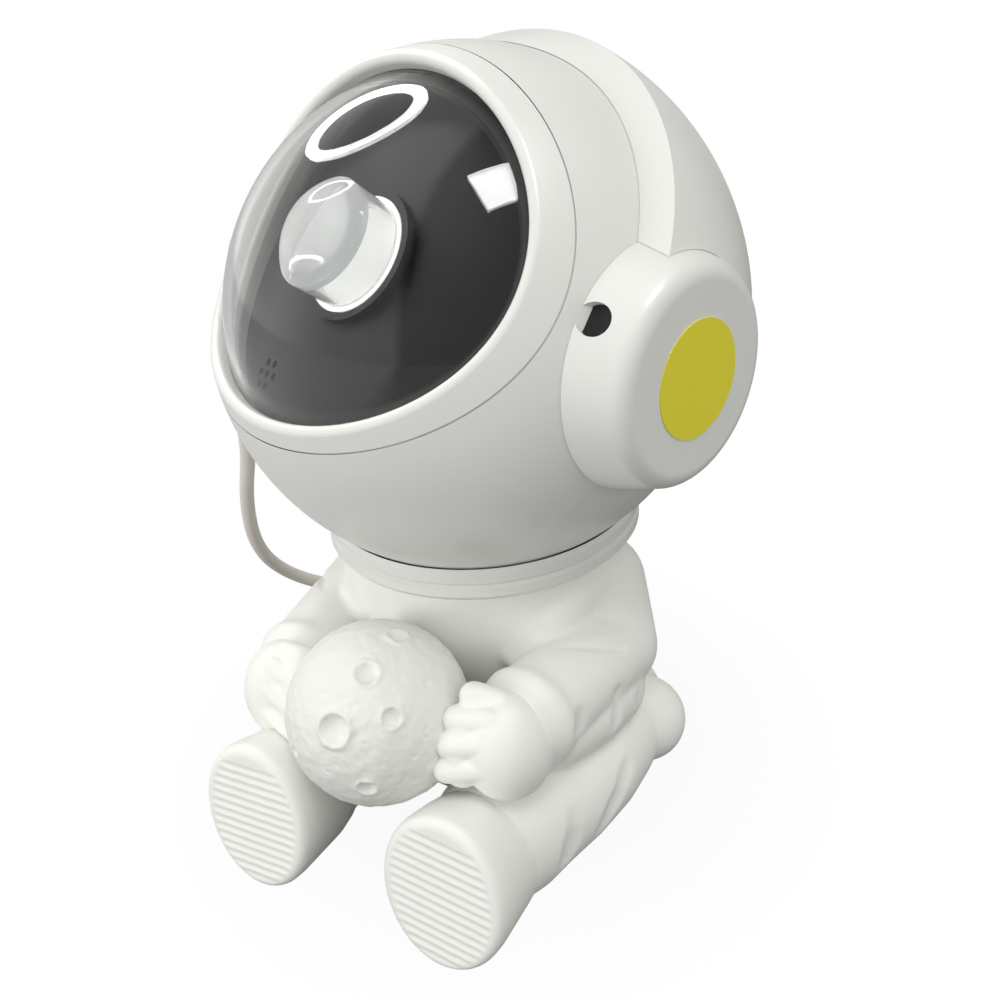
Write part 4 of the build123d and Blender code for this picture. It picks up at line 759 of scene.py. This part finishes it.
def make_suit():
    """Trunk, sleeves and trouser legs, moulded as one soft form with its folds."""
    parts = [loft(TRUNK_RINGS, "trunk")]
    hollows = []
    for sign, drop in ((1, 0.0), (-1, RIGHT_DROP)):
        rings = [(ahead, sign * x, up, wide, high) for ahead, x, up, wide, high in LEG_RINGS]
        parts.append(loft(rings, "leg", turn=(pi / 2, 0, 0)))
        parts.append(ball(sided([HIP_LOBE], sign)[0], HIP_LOBE_R))
        shoulder, elbow, wrist = sided([SHOULDER, ELBOW, (WRIST[0], WRIST[1], WRIST[2] - drop)], sign)
        parts += limb([shoulder, elbow, wrist], SLEEVE_RADII)
        mouth = Vector(wrist)
        along = (mouth - Vector(elbow)).normalized()
        for (start, start_r), (end, end_r) in zip(CUFF, CUFF[1:]):
            parts.append(rod(mouth + along * start, mouth + along * end, start_r, end_r))
        parts += limb(sided(LAPEL[0], sign), LAPEL[1])
        parts += limb(dropped(sided(SLEEVE_SAG[0], sign), drop / 2), SLEEVE_SAG[1])
        for points, radii in HOLLOWS:
            hollows += limb(dropped(sided(points, sign), drop / 2), radii)
        for points, radii in TROUSER_HOLLOWS:
            hollows += limb(sided(points, sign), radii)
        for point in dropped(sided(CUFF_DIMPLES, sign), drop):
            hollows.append(ball(point, CUFF_DIMPLE_R, segments=16))
    suit = fuse(parts, "figure_suit", SUIT_CELL, soften=5)
    carve(suit, fuse(hollows, "hollows", HOLLOW_CELL))
    reskin(suit, SUIT_CELL, soften=4)
    carve(suit, ball(HEAD, HELMET_R + NECK_GAP, segments=96))
    stand(suit, SUIT_UNDER)
    smooth(suit)
    paint(suit, "vinyl_white_soft_moulded")
    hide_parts("trunk_front_shell", "trunk_rear_shell", "arm_left", "arm_right", "leg_left",
                "leg_right")
    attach(suit, "figure")


def make_hands(moon_r):
    """Mitten hands: a broad back and four short fingers laid against a moon of this radius."""
    for sign, drop, name in ((1, 0.0, "hand_left"), (-1, RIGHT_DROP, "hand_right")):
        centre = dropped(sided([PALM_EGG[0]], sign), drop)[0]
        wrist = dropped(sided([WRIST], sign), drop)[0]
        parts = [ball(centre, PALM_EGG[1]), rod(wrist, centre, *PALM_ROOT)]
        parts += limb(dropped(sided(PALM_EDGE[0], sign), drop), PALM_EDGE[1])
        for points in FINGERS:
            knuckle, tip = dropped(sided(points, sign), drop)
            parts += limb([knuckle, tip], (FINGER_R - FINGER_TAPER, FINGER_R))
        hand = fuse(parts, name + "_mitten", HAND_CELL, soften=5)
        carve(hand, ball(MOON_AT, moon_r + MOON_GAP, segments=96))
        smooth(hand, angle=50)
        paint(hand, "vinyl_white_soft_moulded")
        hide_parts(name)
        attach(hand, "figure")


def make_moon(moon_r):
    """The moon of this radius: craters with raised rims, and a pitted stony skin."""
    parts = [ball(MOON_AT, moon_r, segments=128)]
    bites = []
    for bearing, height, radius in CRATERS:
        across, up = radians(bearing), radians(height)
        out = Vector((sin(across) * cos(up), -cos(across) * cos(up), sin(up)))
        rim = RIM_THICK * radius + RIM_LEAST
        bpy.ops.mesh.primitive_torus_add(
            major_segments=32, minor_segments=10, major_radius=RIM_R * radius * MM, minor_radius=rim * MM,
            location=mm(Vector(MOON_AT) + out * (moon_r - RIM_SUNK * rim)),
            rotation=out.to_track_quat("Z", "Y").to_euler())
        parts.append(settle(bpy.context.object, "rim"))
        centre = Vector(MOON_AT) + out * (moon_r + CRATER_OUT * radius)
        bites.append(ball(centre, CRATER_R * radius, segments=32))
    moon = fuse(parts, "moon", MOON_CELL, soften=2)
    carve(moon, join(bites, "bites"))
    reskin(moon, MOON_CELL, soften=5)
    stone = bpy.data.textures.new("moon_stone", "CLOUDS")
    stone.noise_scale = STONE_SIZE * MM
    stone.noise_depth = 2
    apply(moon, "DISPLACE", texture=stone, texture_coords="LOCAL", strength=STONE_DEEP * MM, mid_level=0.5)
    smooth(moon)
    paint(moon, "vinyl_moon_stone_grain")
    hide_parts("moon_ball")
    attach(moon, "figure")


def make_boots():
    """Round boots with softly ribbed soles."""
    lean = radians(SOLE_LEAN)
    x_axis = Vector((1, 0, 0))
    out = Vector((0, -cos(lean), sin(lean)))
    turn = Matrix((x_axis, out.cross(x_axis), out)).transposed().to_4x4()
    for sign, name in ((1, "boot_left"), (-1, "boot_right")):
        boot = loft(BOOT_RINGS, name + "_ribbed", sides=96)
        # Rounds the edge of the sole, which lies at height 0 until the boot is turned
        take(boot)
        bpy.ops.object.mode_set(mode="EDIT")
        bpy.ops.mesh.select_all(action="DESELECT")
        bpy.ops.object.mode_set(mode="OBJECT")
        for edge in boot.data.edges:
            edge.select = all(boot.data.vertices[v].co.z > -0.1 * MM for v in edge.vertices)
        bpy.ops.object.mode_set(mode="EDIT")
        bpy.ops.mesh.bevel(offset=SOLE_BEVEL * MM, segments=6, profile=0.5)
        bpy.ops.object.mode_set(mode="OBJECT")
        reskin(boot, BOOT_CELL)
        cuts = []
        for i in range(GROOVES):
            up = (i - (GROOVES - 1) / 2) * GROOVE_PITCH - GROOVES_LOW
            reach = GROOVE_REACH * max(1 - (up / GROOVE_FADE) ** 2, 0.0) ** 0.5
            fall = reach * sin(radians(GROOVE_TILT))
            high = GROOVE_R - GROOVE_DEEP
            ends = [(-reach, up - sign * fall, high), (reach, up + sign * fall, high)]
            cuts += limb(ends, (GROOVE_R, GROOVE_R))
        carve(boot, fuse(cuts, "grooves", GROOVE_CELL))
        reskin(boot, RIBBED_CELL, soften=5)
        boot.matrix_world = Matrix.Translation(mm((sign * SOLE_AT[0], SOLE_AT[1], SOLE_AT[2]))) @ turn
        settle(boot, name + "_ribbed")
        stand(boot, BOOT_UNDER)
        smooth(boot)
        paint(boot, "vinyl_white_soft_moulded")
        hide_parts(name)
        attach(boot, "figure")


# ---------------------------------------------------------------- the add-on
def colour_setting(name, description, code):
    """A colour in the panel, with its default as an sRGB hex code."""
    return bpy.props.FloatVectorProperty(
        name=name, description=description, subtype="COLOR", size=3, min=0.0, max=1.0,
        default=colour(code)[:3])


class ProjectorSettings(bpy.types.PropertyGroup):
    """Sizes, colours and lights that the panel shows"""
    helmet_colour: colour_setting("Helmet colour", "Colour of the helmet's moulded shells", "#E8E9E5")
    figure_colour: colour_setting("Figure colour", "Colour of the suit, hands and boots", "#F6F6F2")
    moon_colour: colour_setting("Moon colour", "Colour of the moon's stony skin", "#EFEFEB")
    notice_colour: colour_setting("Notice colour", "Colour of the blank round label", "#F1E73A")
    lead_colour: colour_setting("Lead colour", "Colour of the lead's jacket", "#E6E1DA")
    lead_diameter: bpy.props.FloatProperty(
        name="Lead diameter", description="Thickness of the lead over its jacket",
        default=4.4 * MM, min=1.0 * MM, subtype="DISTANCE", unit="LENGTH")
    moon_radius: bpy.props.FloatProperty(
        name="Moon radius", description="Radius of the moon between its craters",
        default=21.4 * MM, min=5.0 * MM, subtype="DISTANCE", unit="LENGTH")
    room_light: bpy.props.FloatProperty(
        name="Room light", description="Strength of the even light from all sides", default=0.86, min=0.0)
    key_light: bpy.props.FloatProperty(
        name="Key light", description="Watts of the large low lamp in front, on the figure's right",
        default=5.9, min=0.0)
    top_light: bpy.props.FloatProperty(
        name="Top light", description="Watts of the lamp overhead", default=3.0, min=0.0)
    fill_light: bpy.props.FloatProperty(
        name="Fill light", description="Watts of the lamp on the figure's left", default=1.0, min=0.0)


class PROJECTOR_OT_stage(bpy.types.Operator):
    """Camera, lamps, floor and background"""
    bl_idname = "projector.stage"
    bl_label = "Stage"

    def execute(self, context):
        make_camera()
        make_stage(context.scene.projector)
        return {"FINISHED"}


class PROJECTOR_OT_lead(bpy.types.Operator):
    """The lead from the helmet to its plug"""
    bl_idname = "projector.lead"
    bl_label = "Lead"

    def execute(self, context):
        make_lead(context.scene.projector.lead_diameter)
        return {"FINISHED"}


class PROJECTOR_OT_finishes(bpy.types.Operator):
    """Finishes on the CAD pieces"""
    bl_idname = "projector.finishes"
    bl_label = "Finishes"

    def execute(self, context):
        dress_nodes()
        return {"FINISHED"}


class PROJECTOR_OT_ear_hole_shade(bpy.types.Operator):
    """Painted shade: a black rod in the ear cup's hole"""
    bl_idname = "projector.ear_hole"
    bl_label = "Ear hole"

    def execute(self, context):
        make_ear_hole_shade()
        return {"FINISHED"}


class PROJECTOR_OT_suit(bpy.types.Operator):
    """Trunk, sleeves and trouser legs"""
    bl_idname = "projector.suit"
    bl_label = "Suit"

    def execute(self, context):
        make_suit()
        return {"FINISHED"}


class PROJECTOR_OT_hands(bpy.types.Operator):
    """The two mitten hands"""
    bl_idname = "projector.hands"
    bl_label = "Hands"

    def execute(self, context):
        make_hands(context.scene.projector.moon_radius / MM)
        return {"FINISHED"}


class PROJECTOR_OT_moon(bpy.types.Operator):
    """The cratered moon"""
    bl_idname = "projector.moon"
    bl_label = "Moon"

    def execute(self, context):
        make_moon(context.scene.projector.moon_radius / MM)
        return {"FINISHED"}


class PROJECTOR_OT_boots(bpy.types.Operator):
    """The two boots"""
    bl_idname = "projector.boots"
    bl_label = "Boots"

    def execute(self, context):
        make_boots()
        return {"FINISHED"}


OPERATORS = (PROJECTOR_OT_stage, PROJECTOR_OT_lead, PROJECTOR_OT_finishes, PROJECTOR_OT_ear_hole_shade,
             PROJECTOR_OT_suit, PROJECTOR_OT_hands, PROJECTOR_OT_moon, PROJECTOR_OT_boots)


class PROJECTOR_PT_panel(bpy.types.Panel):
    """Settings and build steps of the projector"""
    bl_label = "Projector"
    bl_idname = "PROJECTOR_PT_panel"
    bl_space_type = "VIEW_3D"
    bl_region_type = "UI"
    bl_category = "Projector"

    def draw(self, context):
        for key in ProjectorSettings.__annotations__:
            self.layout.prop(context.scene.projector, key)
        for operator in OPERATORS:
            self.layout.operator(operator.bl_idname)


CLASSES = (ProjectorSettings,) + OPERATORS + (PROJECTOR_PT_panel,)


def register():
    for cls in CLASSES:
        bpy.utils.register_class(cls)
    bpy.types.Scene.projector = bpy.props.PointerProperty(type=ProjectorSettings)


def unregister():
    del bpy.types.Scene.projector
    for cls in reversed(CLASSES):
        bpy.utils.unregister_class(cls)


def main():
    """Builds every piece in order."""
    register()
    for operator in OPERATORS:
        group, name = operator.bl_idname.split(".")
        getattr(getattr(bpy.ops, group), name)()


if __name__ == "__main__":
    main()
